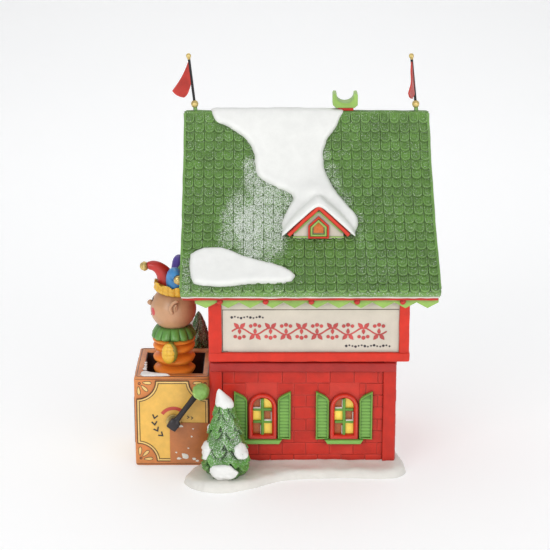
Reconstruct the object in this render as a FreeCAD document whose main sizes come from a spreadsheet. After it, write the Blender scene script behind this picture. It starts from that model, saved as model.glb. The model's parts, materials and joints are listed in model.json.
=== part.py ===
"""Village ornament: a brick toy shop under a shingled roof, with a jack-in-the-box at its side.

Millimetres and degrees. X runs along the shop front, +Y goes towards the back, +Z is up.
The origin is on the ground, at the middle of the footprint.
"""
import FreeCAD, Part
import math
import os
import re
import Sketcher
from FreeCAD import Placement, Rotation, Vector

SIZES = {
    # snow slab under everything
    "slab_top": 4.0,
    # brick walls
    "wall_left": -36.6,
    "wall_right": 54.9,
    "wall_front": -30.5,
    "wall_rear": 47.5,
    "wall_thick": 3.5,
    "post_width": 6.0,
    "post_proud": 0.8,
    "plank_floor": 51.9,
    "plank_top": 56.5,
    "plank_proud": 2.0,
    # sign over the windows
    "sign_left": -36.9,
    "sign_right": 60.5,
    "sign_front": -37.5,
    "sign_floor": 59.3,
    "sign_top": 91.9,
    "panel_left": -30.6,
    "panel_right": 55.6,
    "panel_floor": 63.7,
    "panel_top": 86.5,
    "panel_recess": 1.0,
    # roof: two hollow slopes, each part of a large cylinder
    "ridge_middle": 8.5,
    "ridge_top": 173.0,
    "eave_reach": 53.0,
    "eave_floor": 94.9,
    "slope_radius": 174.4,
    "slope_reach": 166.8,
    "slope_high": 230.1,
    "roof_thick": 4.0,
    "roof_left": -49.9,
    "roof_right": 74.5,
    "ridge_left": -49.0,
    "ridge_right": 70.8,
    "fascia_high": 2.9,
    "fascia_thick": 2.2,
    "trim_left": -43.0,
    "trim_right": 73.8,
    "trim_band": 89.6,
    "trim_tip": 87.6,
    "trim_thick": 1.6,
    "tooth_pitch": 10.62,
    "stud_pitch": 21.9,
    "stud_radius": 1.3,
    "stud_proud": 0.9,
    "snow_thick": 3.0,
    "snow_crest": 175.2,
    "dormer_snow": 4.0,
    "dormer_snow_edge": 1.5,
    # dormer
    "dormer_middle": 16.4,
    "dormer_front": -25.5,
    "dormer_half": 10.6,
    "dormer_floor": 118.9,
    "dormer_side": 123.0,
    "dormer_peak": 131.5,
    "barge_half": 14.8,
    "barge_foot": 120.4,
    "barge_peak": 134.7,
    "barge_proud": 2.0,
    # chimney
    "stack_left": 26.1,
    "stack_right": 34.1,
    "stack_top": 175.3,
    "cap_middle": 29.8,
    "cap_half": 6.1,
    "cap_top": 183.0,
    "cap_deep": 10.0,
    "scoop_radius": 4.4,
    # windows
    "window_one": -10.8,
    "window_two": 29.6,
    "frame_half": 7.05,
    "frame_floor": 16.4,
    "frame_proud": 1.8,
    "light_half": 4.7,
    "light_floor": 17.9,
    "arch_spring": 33.2,
    "bar_width": 1.5,
    "bar_low": 25.2,
    "bar_high": 31.7,
    "shutter_gap": 7.3,
    "shutter_width": 6.4,
    "shutter_top": 40.5,
    "shutter_drop": 3.6,
    "shutter_thick": 1.6,
    "sill_half": 9.5,
    "sill_floor": 14.0,
    "sill_proud": 2.8,
    # lamp hole in the back wall
    "lamp_radius": 14.3,
    "lamp_middle": 9.0,
    "lamp_high": 32.0,
    # toy box
    "toy_left": -74.5,
    "toy_front": -26.9,
    "toy_rear": 17.7,
    "toy_top": 47.1,
    "toy_floor": 3.0,
    "toy_wall": 3.9,
    "rim_high": 4.1,
    "field_inset": 1.3,
    "field_notch": 10.0,
    "field_proud": 0.8,
    # crank
    "hub_across": -55.1,
    "hub_high": 24.2,
    "shaft_radius": 1.5,
    "shaft_fit": 0.06,
    "bush_radius": 2.5,
    "bush_flange": 3.6,
    "arm_back": -32.0,
    "arm_thick": 2.2,
    "arm_long": 24.0,
    "arm_angle": 53.5,
    "arm_hub": 3.0,
    "arm_tip": 1.7,
    "knob_radius": 4.0,
    "knob_thick": 5.4,
    "collar_radius": 2.7,
    # jack
    "jack_across": -55.6,
    "jack_back": -4.2,
    "bellows_radius": 9.8,
    "bellows_inner": 7.2,
    "bellows_wall": 0.8,
    "bellows_top": 59.0,
    "spring_radius": 4.4,
    "spring_wire": 0.8,
    "shoulder_high": 2.0,
    "ruff_radius": 11.0,
    "ruff_top": 67.2,
    "head_radius": 11.4,
    "head_high": 76.0,
    "band_floor": 83.2,
    "band_top": 89.8,
    "arm_radius": 2.7,
    "arm_low": 50.8,
    "arm_side": 12.8,
    "arm_across": -57.4,
    "bell_radius": 2.0,
    # flags
    "flag_left_foot": -44.1,
    "flag_right_foot": 64.6,
    "flag_foot_high": 177.3,
    "flag_lean": 6.4,
    "flag_tall": 23.9,
    "pole_radius": 0.65,
    "pole_fit": 0.06,
    "socket_radius": 1.2,
    "foot_ball": 1.6,
    "top_ball": 1.25,
    "cloth_thick": 0.8,
    "right_swing": 80.0,
    # trees
    "tree_across": -29.0,
    "tree_back": -46.0,
    "tree_top": 48.4,
    "rear_tree_across": -45.6,
    "rear_tree_back": 30.0,
    "rear_tree_top": 62.0,
}

doc = FreeCAD.newDocument("toy_shop_with_jack_in_the_box")
sheet = doc.addObject("Spreadsheet::Sheet", "Sizes")
for row, (alias, value) in enumerate(SIZES.items(), start=1):
    sheet.set(f"A{row}", alias)
    sheet.set(f"B{row}", str(value))
    sheet.setAlias(f"B{row}", alias)
doc.recompute()

NODES = {}
DIRECTIONS = {"x": Vector(1, 0, 0), "y": Vector(0, 1, 0), "z": Vector(0, 0, 1)}
FAR = "200"


# ---------------------------------------------------------------- modelling helpers
def linked(text):
    """The expression with the sheet's name written before each of its aliases."""
    return re.sub(r"[a-z]\w*", lambda word: f"Sizes.{word[0]}" if word[0] in SIZES else word[0], text)


def size(text):
    """The present value of an expression in the sheet's aliases."""
    return float(sheet.evalExpression(linked(text)))


def bind(item, prop, text):
    item.setExpression(prop, linked(text))


def node(name, item):
    """Give a finished sub-part the name that its file will carry."""
    item.Label = name
    NODES[name] = item
    return item


def box(name, across, along, up):
    """A block between two expressions on each axis."""
    item = doc.addObject("Part::Box", name)
    for side, axis, (low, high) in zip(("Length", "Width", "Height"), "xyz", (across, along, up)):
        bind(item, side, f"({high}) - ({low})")
        bind(item, f"Placement.Base.{axis}", low)
    return item


def cylinder(name, centre, radius, length, axis="z"):
    item = doc.addObject("Part::Cylinder", name)
    item.Placement = Placement(Vector(), Rotation(DIRECTIONS["z"], DIRECTIONS[axis]))
    bind(item, "Radius", radius)
    bind(item, "Height", length)
    for letter, place in zip("xyz", centre):
        bind(item, f"Placement.Base.{letter}", place)
    return item


def sphere(name, centre, radius):
    item = doc.addObject("Part::Sphere", name)
    bind(item, "Radius", radius)
    for letter, place in zip("xyz", centre):
        bind(item, f"Placement.Base.{letter}", place)
    return item


def fuse(name, *items):
    item = doc.addObject("Part::MultiFuse", name)
    item.Shapes = list(items)
    return item


def cut(name, base, *tools):
    item = doc.addObject("Part::Cut", name)
    item.Base = base
    item.Tool = tools[0] if len(tools) == 1 else fuse(name + "_tools", *tools)
    return item


def common(name, *items):
    item = doc.addObject("Part::MultiCommon", name)
    item.Shapes = list(items)
    return item


def group(name, *items):
    """Separate solids that share one node."""
    item = doc.addObject("Part::Compound", name)
    item.Links = list(items)
    return item


def feature(name, shape):
    item = doc.addObject("Part::Feature", name)
    item.Shape = shape
    return item


def new_body(name):
    return doc.addObject("PartDesign::Body", name)


def outline(body, plane, level, corners):
    """A closed straight-sided sketch on one of the body's planes, at a level along its normal."""
    sketch = body.newObject("Sketcher::SketchObject", f"{body.Name}_outline")
    support = [item for item in body.Origin.OriginFeatures if item.Role == plane + "_Plane"][0]
    sketch.AttachmentSupport = [(support, "")]
    sketch.MapMode = "FlatFace"
    bind(sketch, "AttachmentOffset.Base.z", f"-({level})" if plane == "XZ" else level)
    spots = [(size(across), size(up)) for across, up in corners]
    count = len(spots)
    for index, (start, end) in enumerate(zip(spots, spots[1:] + spots[:1])):
        sketch.addGeometry(Part.LineSegment(Vector(*start, 0), Vector(*end, 0)), False)
    for index in range(count):
        sketch.addConstraint(Sketcher.Constraint("Coincident", index, 2, (index + 1) % count, 1))
    for index, (texts, spot) in enumerate(zip(corners, spots)):
        for kind, text, value in zip(("DistanceX", "DistanceY"), texts, spot):
            number = sketch.addConstraint(Sketcher.Constraint(kind, -1, 1, index, 1, value))
            bind(sketch, f"Constraints[{number}]", text)
    return sketch


def padded(name, plane, level, length, corners, body=None):
    """A body (or one more pad of a body) raised from a straight-sided outline."""
    body = body or new_body(name)
    sketch = outline(body, plane, level, corners)
    pad = body.newObject("PartDesign::Pad", f"{name}_pad")
    pad.Profile = sketch
    bind(pad, "Length", length)
    return body


def pocketed(body, plane, level, length, corners):
    """Cut a straight-sided pocket into a body, against the sketch's normal."""
    doc.recompute()
    before = body.Shape.Volume
    sketch = outline(body, plane, level, corners)
    pocket = body.newObject("PartDesign::Pocket", f"{body.Name}_pocket")
    pocket.Profile = sketch
    bind(pocket, "Length", length)
    doc.recompute()
    if body.Shape.Volume >= before:
        raise RuntimeError(f"{body.Name}: a pocket cuts nothing")
    return body


def turned(name, centre, corners, axis="z"):
    """A body revolved about its own upright axis from (radius, height) corners, then placed."""
    body = new_body(name)
    sketch = outline(body, "XZ", "0", corners)
    turn = body.newObject("PartDesign::Revolution", f"{name}_turn")
    turn.Profile = sketch
    turn.ReferenceAxis = (sketch, ["V_Axis"])
    turn.Angle = 360
    body.Placement = Placement(Vector(), Rotation(DIRECTIONS["z"], DIRECTIONS[axis]))
    for letter, place in zip("xyz", centre):
        bind(body, f"Placement.Base.{letter}", place)
    return body


def rectangle(low_x, high_x, low_y, high_y):
    return [(low_x, low_y), (high_x, low_y), (high_x, high_y), (low_x, high_y)]


def arch(name, middle, half, floor, spring, along):
    """A block with a half-round top, running along Y between two expressions."""
    block = box(name + "_block", (f"{middle} - {half}", f"{middle} + {half}"), along, (floor, spring))
    drum = cylinder(name + "_drum", (middle, along[0], spring), half, f"({along[1]}) - ({along[0]})", "y")
    return fuse(name, block, drum)


def curved_prism(name, points, lift, base=Vector()):
    """A prism on a smooth closed curve through the points."""
    curve = Part.BSplineCurve()
    curve.interpolate(Points=[point + base for point in points], PeriodicFlag=True)
    face = Part.Face(Part.Wire(curve.toShape()))
    return feature(name, face.extrude(lift))


# ---------------------------------------------------------------- snow slab
def snow_base():
    points = [(-53, -30), (-51, -45), (-42, -58.5), (-30, -62), (-16, -56), (1, -46), (28, -43),
              (52, -43.8), (60.5, -37), (61.5, -15), (61.5, 28), (57, 52), (20, 57), (-22, 56),
              (-50, 51), (-60, 38), (-60, 20), (-57, -5)]
    slab = curved_prism("slab", [Vector(x, y, 0) for x, y in points], Vector(0, 0, size("slab_top")))
    toy_foot = box("toy_foot", ("toy_left", "wall_left"), ("toy_front - field_proud", "toy_rear"),
                   ("-1", "slab_top + 1"))
    node("snow_base", cut("snow_base_cut", slab, toy_foot))


# ---------------------------------------------------------------- roof volumes
def slope_drum(name, offset, side):
    """The large cylinder that hollows one slope; side is 1 in front and -1 behind."""
    middle = f"ridge_middle - {side} * slope_reach"
    return cylinder(name, ("roof_left - 20", middle, "slope_high"), f"slope_radius {offset}",
                    "roof_right - roof_left + 40", "x")


def under_slopes(name, offset, top):
    """Everything below a surface parallel to the two slopes."""
    block = box(name + "_block", ("roof_left - 10", "roof_right + 10"),
                ("ridge_middle - eave_reach", "ridge_middle + eave_reach"), ("40", top))
    drums = [slope_drum(f"{name}_drum_{label}", offset, side)
             for label, side in (("front", 1), ("rear", -1))]
    return cut(name, block, *drums)


def roof_outline():
    """The roof seen from the front: a little narrower at the ridge than at the eaves."""
    return padded("roof_elevation", "XZ", "ridge_middle + eave_reach", "2 * eave_reach",
                  [("roof_left", "eave_floor"), ("roof_right", "eave_floor"),
                   ("ridge_right", "ridge_top"), ("ridge_left", "ridge_top")])


# ---------------------------------------------------------------- walls
def house_walls():
    body = padded("brick_walls", "XY", "slab_top", "sign_floor - slab_top",
                  rectangle("wall_left", "wall_right", "wall_front", "wall_rear"))
    pocketed(body, "XY", "sign_floor", "sign_floor - slab_top",
             rectangle("wall_left + wall_thick", "wall_right - wall_thick",
                       "wall_front + wall_thick", "wall_rear - wall_thick"))
    lights = [arch(f"light_hole_{label}", middle, "light_half", "light_floor", "arch_spring",
                   ("wall_front - 5", "wall_front + 10"))
              for label, middle in (("left", "window_one"), ("right", "window_two"))]
    lamp = cylinder("lamp_bore", ("lamp_middle", "wall_rear - 10", "lamp_high"), "lamp_radius", "20", "y")
    node("house_walls", cut("house_walls_cut", body, *lights, lamp))


def upper_walls(attic):
    block = box("gable_block", ("wall_left", "wall_right"), ("wall_front", "wall_rear"),
                ("sign_floor", FAR))
    room = box("gable_room", ("wall_left + wall_thick", "wall_right - wall_thick"),
               ("wall_front + wall_thick", "wall_rear - wall_thick"), ("sign_floor - 1", FAR))
    node("upper_walls", cut("upper_walls_cut", common("gable_shape", block, attic), room))


def corner_posts():
    posts = []
    for label, low in (("left", "wall_left"), ("right", "wall_right - post_width")):
        posts.append(box(f"corner_post_{label}", (low, f"{low} + post_width"),
                         ("wall_front - post_proud", "wall_front"), ("slab_top", "plank_floor")))
    node("corner_posts", group("corner_post_pair", *posts))


def wall_plank():
    node("wall_plank", padded("plank", "YZ", "wall_left", "wall_right - wall_left",
                              [("wall_front", "plank_floor"), ("wall_front", "plank_top"),
                               ("wall_front - plank_proud", "plank_top"),
                               ("wall_front - plank_proud", "plank_floor + 1")]))


def sign():
    frame = padded("sign_ring", "XZ", "wall_front", "wall_front - sign_front",
                   rectangle("sign_left", "sign_right", "sign_floor", "sign_top"))
    pocketed(frame, "XZ", "sign_front", "wall_front - sign_front",
             rectangle("panel_left", "panel_right", "panel_floor", "panel_top"))
    node("sign_frame", frame)
    node("sign_panel", box("sign_board", ("panel_left", "panel_right"),
                           ("sign_front + panel_recess", "wall_front"), ("panel_floor", "panel_top")))


# ---------------------------------------------------------------- windows
def window(label, middle):
    """One arched window with its bars, two colours of pane and two shutters; it returns the sill."""
    tag = f"_{label}"
    outer = arch("frame_outer" + tag, middle, "frame_half", "frame_floor", "arch_spring",
                 ("wall_front - frame_proud", "wall_front"))
    inner = arch("frame_inner" + tag, middle, "light_half", "light_floor", "arch_spring",
                 ("wall_front - 5", "wall_front + 5"))
    node("window_frame" + tag, cut("frame_ring" + tag, outer, inner))

    front, rear = "wall_front - 0.6", "wall_front + 0.9"
    upright = box("bar_up" + tag, (f"{middle} - bar_width / 2", f"{middle} + bar_width / 2"),
                  (front, rear), ("light_floor", "arch_spring + light_half"))
    rails = [box(f"bar_rail_{name}{tag}", (f"{middle} - light_half", f"{middle} + light_half"),
                 (front, rear), (f"{height} - bar_width / 2", f"{height} + bar_width / 2"))
             for name, height in (("low", "bar_low"), ("high", "bar_high"))]
    node("window_bars" + tag, common("bars" + tag, fuse("bar_cross" + tag, upright, *rails), inner))

    rows = [("light_floor", "bar_low - 0.2"), ("bar_low + 0.2", "bar_high - 0.2"),
            ("bar_high + 0.2", "arch_spring + light_half")]
    sides = [(f"{middle} - light_half", f"{middle} - 0.2"), (f"{middle} + 0.2", f"{middle} + light_half")]
    for name, start in (("dark", 0), ("light", 1)):
        panes = []
        for number, row in enumerate(rows):
            cell = box(f"cell_{name}_{number}{tag}", sides[(number + start) % 2],
                       ("wall_front + 0.9", "wall_front + 2.1"), row)
            panes.append(common(f"pane_{name}_{number}{tag}", cell, inner))
        node(f"window_panes_{name}{tag}", group(f"panes_{name}{tag}", *panes))

    leaves = []
    for name, side in (("outer", -1), ("inner", 1)):
        near = f"{middle} + {side} * shutter_gap"
        far = f"{middle} + {side} * (shutter_gap + shutter_width)"
        leaves.append(padded(f"leaf_{name}{tag}", "XZ", "wall_front", "shutter_thick",
                             [(near, "frame_floor"), (far, "frame_floor"), (far, "shutter_top"),
                              (near, "shutter_top - shutter_drop")]))
    node("shutters" + tag, group("shutter_pair" + tag, *leaves))

    return box("sill" + tag, (f"{middle} - sill_half", f"{middle} + sill_half"),
               ("wall_front - sill_proud", "wall_front"), ("sill_floor", "frame_floor"))


# ---------------------------------------------------------------- roof
def roof_shell(body_below, attic, elevation, sockets):
    slopes = common("roof_block", body_below, elevation)
    node("roof_shell", cut("roof_shell_cut", slopes, attic, *sockets))


def eaves():
    """The red boards and the toothed green trim under both eaves, with the trim's red studs."""
    boards = []
    trims = []
    studs = []
    teeth = int(size("(trim_right - trim_left) / tooth_pitch"))
    for label, side in (("front", -1), ("rear", 1)):
        edge = f"ridge_middle + {side} * eave_reach"
        inner = f"{edge} - {side} * (1 + fascia_thick)"
        outer = f"{edge} - {side} * 1"
        span = (outer, inner) if side < 0 else (inner, outer)
        boards.append(box(f"fascia_{label}", ("roof_left + 1", "roof_right - 1"), span,
                          ("eave_floor - fascia_high", "eave_floor")))
        trim_front = f"{inner} - {side} * trim_thick"
        face = f"{inner} - stud_proud" if side < 0 else inner
        corners = [("trim_right", "eave_floor"), ("trim_left", "eave_floor"), ("trim_left", "trim_band")]
        for number in range(teeth):
            corners.append((f"trim_left + {number + 0.5} * tooth_pitch", "trim_tip"))
            corners.append((f"trim_left + {number + 1} * tooth_pitch", "trim_band"))
        trims.append(padded(f"trim_{label}", "XZ", f"max({trim_front}; {inner})", "trim_thick", corners))
        for number in range(5):
            centre = (f"trim_left + 12 + {number} * stud_pitch", face, "trim_band + 0.2")
            studs.append(cylinder(f"stud_{label}_{number}", centre, "stud_radius", "stud_proud", "y"))
    node("fascia_boards", group("fascia_pair", *boards))
    node("scallop_trims", group("trim_pair", *trims))
    node("trim_studs", group("trim_stud_rows", *studs))


def snow_outline(name, points, start, length):
    return curved_prism(name, [Vector(x, start, z) for x, z in points], Vector(0, length, 0))


def roof_snow(roof_volume, dormer_cap, dormer_block, stack):
    """The drift from the ridge down round the dormer, its back half, and the patch on the eave."""
    layer = cut("snow_layer", under_slopes("snow_volume", "- snow_thick", "snow_crest"), roof_volume)
    ridge = size("ridge_middle")
    deep = size("eave_reach")
    drift = snow_outline("drift_front", [
        (-36, 181), (-33.2, 168.9), (-18.9, 160.7), (-13.4, 147), (-4, 139.4), (4.3, 134.8), (0, 126.9),
        (1.2, 119.8), (17, 116), (32.3, 119.5), (35.2, 125.5), (27.8, 134.5), (19.6, 147.8), (21, 160.7),
        (28, 170), (30, 181), (0, 183)], ridge - deep, deep)
    back = snow_outline("drift_rear", [
        (-37, 181), (-34, 166), (-22, 156), (-8, 160), (4, 150), (20, 157), (33, 165), (34, 181), (0, 183)],
        ridge, deep)
    front = cut("snow_front", common("snow_front_sheet", drift, layer), dormer_block, stack)
    rear = cut("snow_rear", common("snow_rear_sheet", back, layer), stack)
    node("roof_snow", group("roof_snow_drifts", front, rear, dormer_cap))
    patch = snow_outline("eave_outline", [
        (-45.6, 108), (-42, 112.8), (-34, 114), (-22, 111.5), (-8, 108.2), (3, 104.8), (4, 101.8),
        (-5, 100), (-24, 99.4), (-41, 99.8), (-45, 103)], ridge - deep, deep)
    node("eave_snow", common("eave_patch", patch, layer))


def dormer(roof_volume):
    """A small gabled dormer that runs back into the front slope; it returns its snow and its space."""
    wall = padded("dormer_block", "XZ", "ridge_middle - 10", "ridge_middle - 10 - dormer_front",
                  [("dormer_middle - dormer_half", "dormer_floor"),
                   ("dormer_middle + dormer_half", "dormer_floor"),
                   ("dormer_middle + dormer_half", "dormer_side"),
                   ("dormer_middle", "dormer_peak"),
                   ("dormer_middle - dormer_half", "dormer_side")])
    node("dormer_wall", cut("dormer_wall_cut", wall, roof_volume))
    depth = "ridge_middle - 10 - dormer_front + barge_proud"
    boards = padded("barge_block", "XZ", "ridge_middle - 10", depth,
                    [("dormer_middle - barge_half", "barge_foot"),
                     ("dormer_middle - dormer_half", "dormer_side"),
                     ("dormer_middle", "dormer_peak"), ("dormer_middle + dormer_half", "dormer_side"),
                     ("dormer_middle + barge_half", "barge_foot"), ("dormer_middle", "barge_peak")])
    node("dormer_roof", cut("dormer_roof_cut", boards, roof_volume))
    snow_top = [("dormer_middle + barge_half + dormer_snow_edge", "barge_foot + dormer_snow_edge"),
                ("dormer_middle", "barge_peak + dormer_snow"),
                ("dormer_middle - barge_half - dormer_snow_edge", "barge_foot + dormer_snow_edge")]
    cap = padded("dormer_snow_block", "XZ", "ridge_middle - 10", depth,
                 [("dormer_middle - barge_half", "barge_foot"), ("dormer_middle", "barge_peak"),
                  ("dormer_middle + barge_half", "barge_foot"),
                  *snow_top])
    snow = cut("dormer_snow_cut", cap, roof_volume)
    frame = arch("dormer_frame_outer", "dormer_middle", "5.2", "dormer_floor", "dormer_floor + 5.2",
                 ("dormer_front - 1.4", "dormer_front"))
    light = arch("dormer_light", "dormer_middle", "2.4", "dormer_floor + 2.3", "dormer_floor + 4.8",
                 ("dormer_front - 3", "dormer_front + 3"))
    node("dormer_window_frame", cut("dormer_frame_ring", frame, light))
    glass = box("dormer_glass", ("dormer_middle - 4", "dormer_middle + 4"),
                ("dormer_front - 0.8", "dormer_front"), ("dormer_floor", "dormer_floor + 9"))
    node("dormer_window_pane", common("dormer_pane", glass, light))
    clearing = padded("dormer_clearing", "XZ", "ridge_middle - 10", depth,
                      [("dormer_middle - barge_half - dormer_snow_edge", "dormer_floor - 20"),
                       ("dormer_middle + barge_half + dormer_snow_edge", "dormer_floor - 20"),
                       *snow_top])
    return snow, clearing


def chimney(roof_volume):
    stack = box("stack", ("stack_left", "stack_right"), ("ridge_middle - 4", "ridge_middle + 4"),
                ("ridge_top - 15", "stack_top"))
    node("chimney_stack", cut("chimney_stack_cut", stack, roof_volume))
    block = padded("cap_block", "XZ", "ridge_middle + cap_deep / 2", "cap_deep",
                   [("cap_middle - cap_half + 1.8", "stack_top"),
                    ("cap_middle + cap_half - 1.8", "stack_top"),
                    ("cap_middle + cap_half", "stack_top + 1.9"),
                    ("cap_middle + cap_half - 0.3", "cap_top"),
                    ("cap_middle - cap_half + 0.3", "cap_top"),
                    ("cap_middle - cap_half", "stack_top + 1.9")])
    scoop = cylinder("cap_scoop", ("cap_middle", "ridge_middle - cap_deep", "cap_top"), "scoop_radius",
                     "2 * cap_deep", "y")
    node("chimney_cap", cut("chimney_cap_cut", block, scoop))
    return stack


# ---------------------------------------------------------------- flags
def lean(item, foot):
    """Stand a piece that was made upright at the origin on the ridge, leaning to the left."""
    item.Placement = Placement(Vector(), Rotation(DIRECTIONS["y"], 1))
    bind(item, "Placement.Rotation.Angle", "-flag_lean")
    bind(item, "Placement.Base.x", foot)
    bind(item, "Placement.Base.y", "ridge_middle")
    bind(item, "Placement.Base.z", "flag_foot_high")
    return item


def flag(label, foot, swing):
    """A metal flag: a socket in the ridge, and a pole with its ball and cloth that turns in it."""
    tag = f"_{label}"
    origin = ("0", "0", "-6")
    bore = cylinder("socket_bore" + tag, ("0", "0", "-5.8"), "pole_radius + pole_fit", "12")
    sleeve = fuse("socket_solid" + tag, cylinder("socket_tube" + tag, origin, "socket_radius", "6"),
                  sphere("socket_ball" + tag, ("0", "0", "0"), "foot_ball"))
    node("flag_socket" + tag, lean(cut("socket" + tag, sleeve, bore), foot))

    rod, rod_space = [cylinder(name + tag, ("0", "0", "-5.7"), "pole_radius", "flag_tall + 5.7")
                      for name in ("pole_rod", "pole_space")]
    ball = sphere("top_ball_solid" + tag, ("0", "0", "flag_tall"), "top_ball")
    node("flag_pole" + tag, lean(fuse("pole" + tag, rod, ball), foot))

    cloth = padded("cloth" + tag, "XZ", "cloth_thick / 2", "cloth_thick",
                   [("-0.3", "flag_tall - 2.6"), ("-0.3", "flag_tall - 13.6"), ("-2.2", "flag_tall - 14.8"),
                    ("-4.9", "flag_tall - 20.2"), ("-7.6", "flag_tall - 19.4"),
                    ("-10.2", "flag_tall - 16.4"), ("-6.2", "flag_tall - 11.2"),
                    ("-3.2", "flag_tall - 3.6")])
    cloth.Placement = Placement(Vector(), Rotation(DIRECTIONS["z"], 1))
    bind(cloth, "Placement.Rotation.Angle", swing)
    node("flag_cloth" + tag, lean(cut("cloth_cut" + tag, cloth, rod_space), foot))
    seat = cylinder("socket_seat_rod" + tag, origin, "socket_radius", "8")
    return lean(group("socket_seat" + tag, seat), foot)


# ---------------------------------------------------------------- toy box and crank
def toy_box():
    inner = ("toy_left + toy_wall", "wall_left - toy_wall")
    deep = ("toy_front + toy_wall", "toy_rear - toy_wall")
    walls = padded("toy_walls", "XY", "0", "toy_top - rim_high",
                   rectangle("toy_left", "wall_left", "toy_front", "toy_rear"))
    pocketed(walls, "XY", "toy_top - rim_high", "toy_top - rim_high", rectangle(*inner, *deep))
    bore = cylinder("bush_seat", ("hub_across", "toy_front - 1", "hub_high"), "bush_radius",
                    "toy_wall + 2", "y")
    node("toy_box_walls", cut("toy_walls_cut", walls, bore))
    node("toy_box_floor", box("toy_floor_plate", inner, deep, ("0", "toy_floor")))
    rim = padded("toy_rim", "XY", "toy_top - rim_high", "rim_high",
                 rectangle("toy_left", "wall_left", "toy_front", "toy_rear"))
    pocketed(rim, "XY", "toy_top", "rim_high",
             rectangle("toy_left + toy_wall", "wall_left - toy_wall",
                       "toy_front + toy_wall + 2", "toy_rear - toy_wall - 2"))
    node("toy_box_rim", rim)

    low_x, high_x = "toy_left + field_inset", "wall_left - field_inset"
    low_z, high_z = "field_inset", "toy_top - field_inset"
    field = padded("toy_field", "XZ", "toy_front", "field_proud", rectangle(low_x, high_x, low_z, high_z))
    notches = [cylinder(f"notch_{name}", (across, "toy_front - 5", up), "field_notch", "10", "y")
               for name, across, up in (("a", low_x, low_z), ("b", high_x, low_z),
                                        ("c", low_x, high_z), ("d", high_x, high_z))]
    hub_hole = cylinder("hub_hole", ("hub_across", "toy_front - 5", "hub_high"), "bush_flange", "10", "y")
    node("toy_box_front_panel", cut("toy_field_cut", field, *notches, hub_hole))


def crank():
    """A flanged bush in the box front, and the crank that turns in it."""
    hub = ("hub_across", "toy_front - field_proud - 0.6", "hub_high")
    tube = cylinder("bush_tube", ("hub_across", "toy_front", "hub_high"), "bush_radius", "toy_wall", "y")
    flange = cylinder("bush_flange_disc", hub, "bush_flange", "field_proud + 0.6", "y")
    bore = cylinder("bush_bore", ("hub_across", "toy_front - 10", "hub_high"), "shaft_radius + shaft_fit",
                    "20", "y")
    node("crank_bush", cut("bush", fuse("bush_solid", tube, flange), bore))

    shaft_end = "toy_front + toy_wall + 2.4"
    node("crank_shaft", cylinder("shaft", ("hub_across", "arm_back", "hub_high"), "shaft_radius",
                                 f"{shaft_end} - arm_back", "y"))
    ring = cylinder("collar_disc", ("hub_across", "toy_front + toy_wall + 0.3", "hub_high"),
                    "collar_radius", "1.8", "y")
    node("crank_collar", cut("collar", ring, NODES["crank_shaft"]))

    turn = "arm_angle"
    tip_x = f"hub_across + arm_long * cos({turn})"
    tip_z = f"hub_high + arm_long * sin({turn})"
    corners = []
    for centre_x, centre_z, half, sides in (("hub_across", "hub_high", "arm_hub", (1, -1)),
                                            (tip_x, tip_z, "arm_tip", (-1, 1))):
        for side in sides:
            corners.append((f"{centre_x} - {side} * {half} * sin({turn})",
                            f"{centre_z} + {side} * {half} * cos({turn})"))
    bar = padded("arm_bar", "XZ", "arm_back", "arm_thick", corners)
    hub_end = cylinder("arm_hub_disc", ("hub_across", "arm_back - arm_thick", "hub_high"), "arm_hub",
                       "arm_thick", "y")
    tip_end = cylinder("arm_tip_disc", (tip_x, "arm_back - arm_thick", tip_z), "arm_tip", "arm_thick", "y")
    node("crank_arm", fuse("arm_solid", bar, hub_end, tip_end))

    knob = turned("knob_turned", (tip_x, "arm_back - arm_thick - knob_thick", tip_z),
                  [("0", "0"), ("knob_radius * 0.5", "knob_thick * 0.07"),
                   ("knob_radius * 0.87", "knob_thick * 0.27"), ("knob_radius", "knob_thick * 0.52"),
                   ("knob_radius * 0.87", "knob_thick * 0.8"), ("knob_radius * 0.55", "knob_thick"),
                   ("0", "knob_thick")], "y")
    node("crank_knob", knob)


# ---------------------------------------------------------------- jack
def jack_axis(height):
    return ("jack_across", "jack_back", height)


def bellows():
    """A hollow pleated tube round a coil spring, both standing on the box floor."""
    floor, top = size("toy_floor"), size("bellows_top")
    outer, inner, wall = size("bellows_radius"), size("bellows_inner"), size("bellows_wall")
    pleats = 9
    rise = (top - floor) / pleats
    outside = []
    for number in range(pleats):
        outside.append(Vector(inner, 0, floor + number * rise))
        outside.append(Vector(outer, 0, floor + (number + 0.5) * rise))
    outside.append(Vector(inner, 0, top))
    inside = [point - Vector(wall, 0, 0) for point in reversed(outside)]
    profile = Part.makePolygon(outside + inside + outside[:1])
    tube = Part.Face(profile).revolve(Vector(), DIRECTIONS["z"], 360)
    item = feature("bellows_tube", tube)
    item.Placement = Placement(Vector(size("jack_across"), size("jack_back"), 0), Rotation())
    node("jack_bellows", item)

    radius, wire = size("spring_radius"), size("spring_wire")
    coils = 8
    tall = top - floor - 2 * wire
    path = Part.makeHelix(tall / coils, tall, radius)
    section = Part.Wire(Part.makeCircle(wire, Vector(radius, 0, 0), DIRECTIONS["y"]))
    spring = feature("spring_coil", Part.Wire(path).makePipeShell([section], True, True))
    spring.Placement = Placement(Vector(size("jack_across"), size("jack_back"), floor + wire), Rotation())
    node("jack_spring", spring)


def horn(name, spots, radii):
    """A tapering horn of the hat through spots measured from the hat's top; it returns its tip."""
    top = Vector(size("jack_across"), size("jack_back"), size("band_top"))
    places = [top + Vector(*spot) for spot in spots]
    rings = []
    for index, (place, radius) in enumerate(zip(places, radii)):
        heading = places[min(index + 1, len(places) - 1)] - places[max(index - 1, 0)]
        if index == 0:
            heading = DIRECTIONS["z"]
        rings.append(Part.Wire(Part.makeCircle(radius, place, heading)))
    node(f"hat_{name}", feature(f"{name}_loft", Part.makeLoft(rings, True)))
    return places[-1], heading.normalize()


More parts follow.
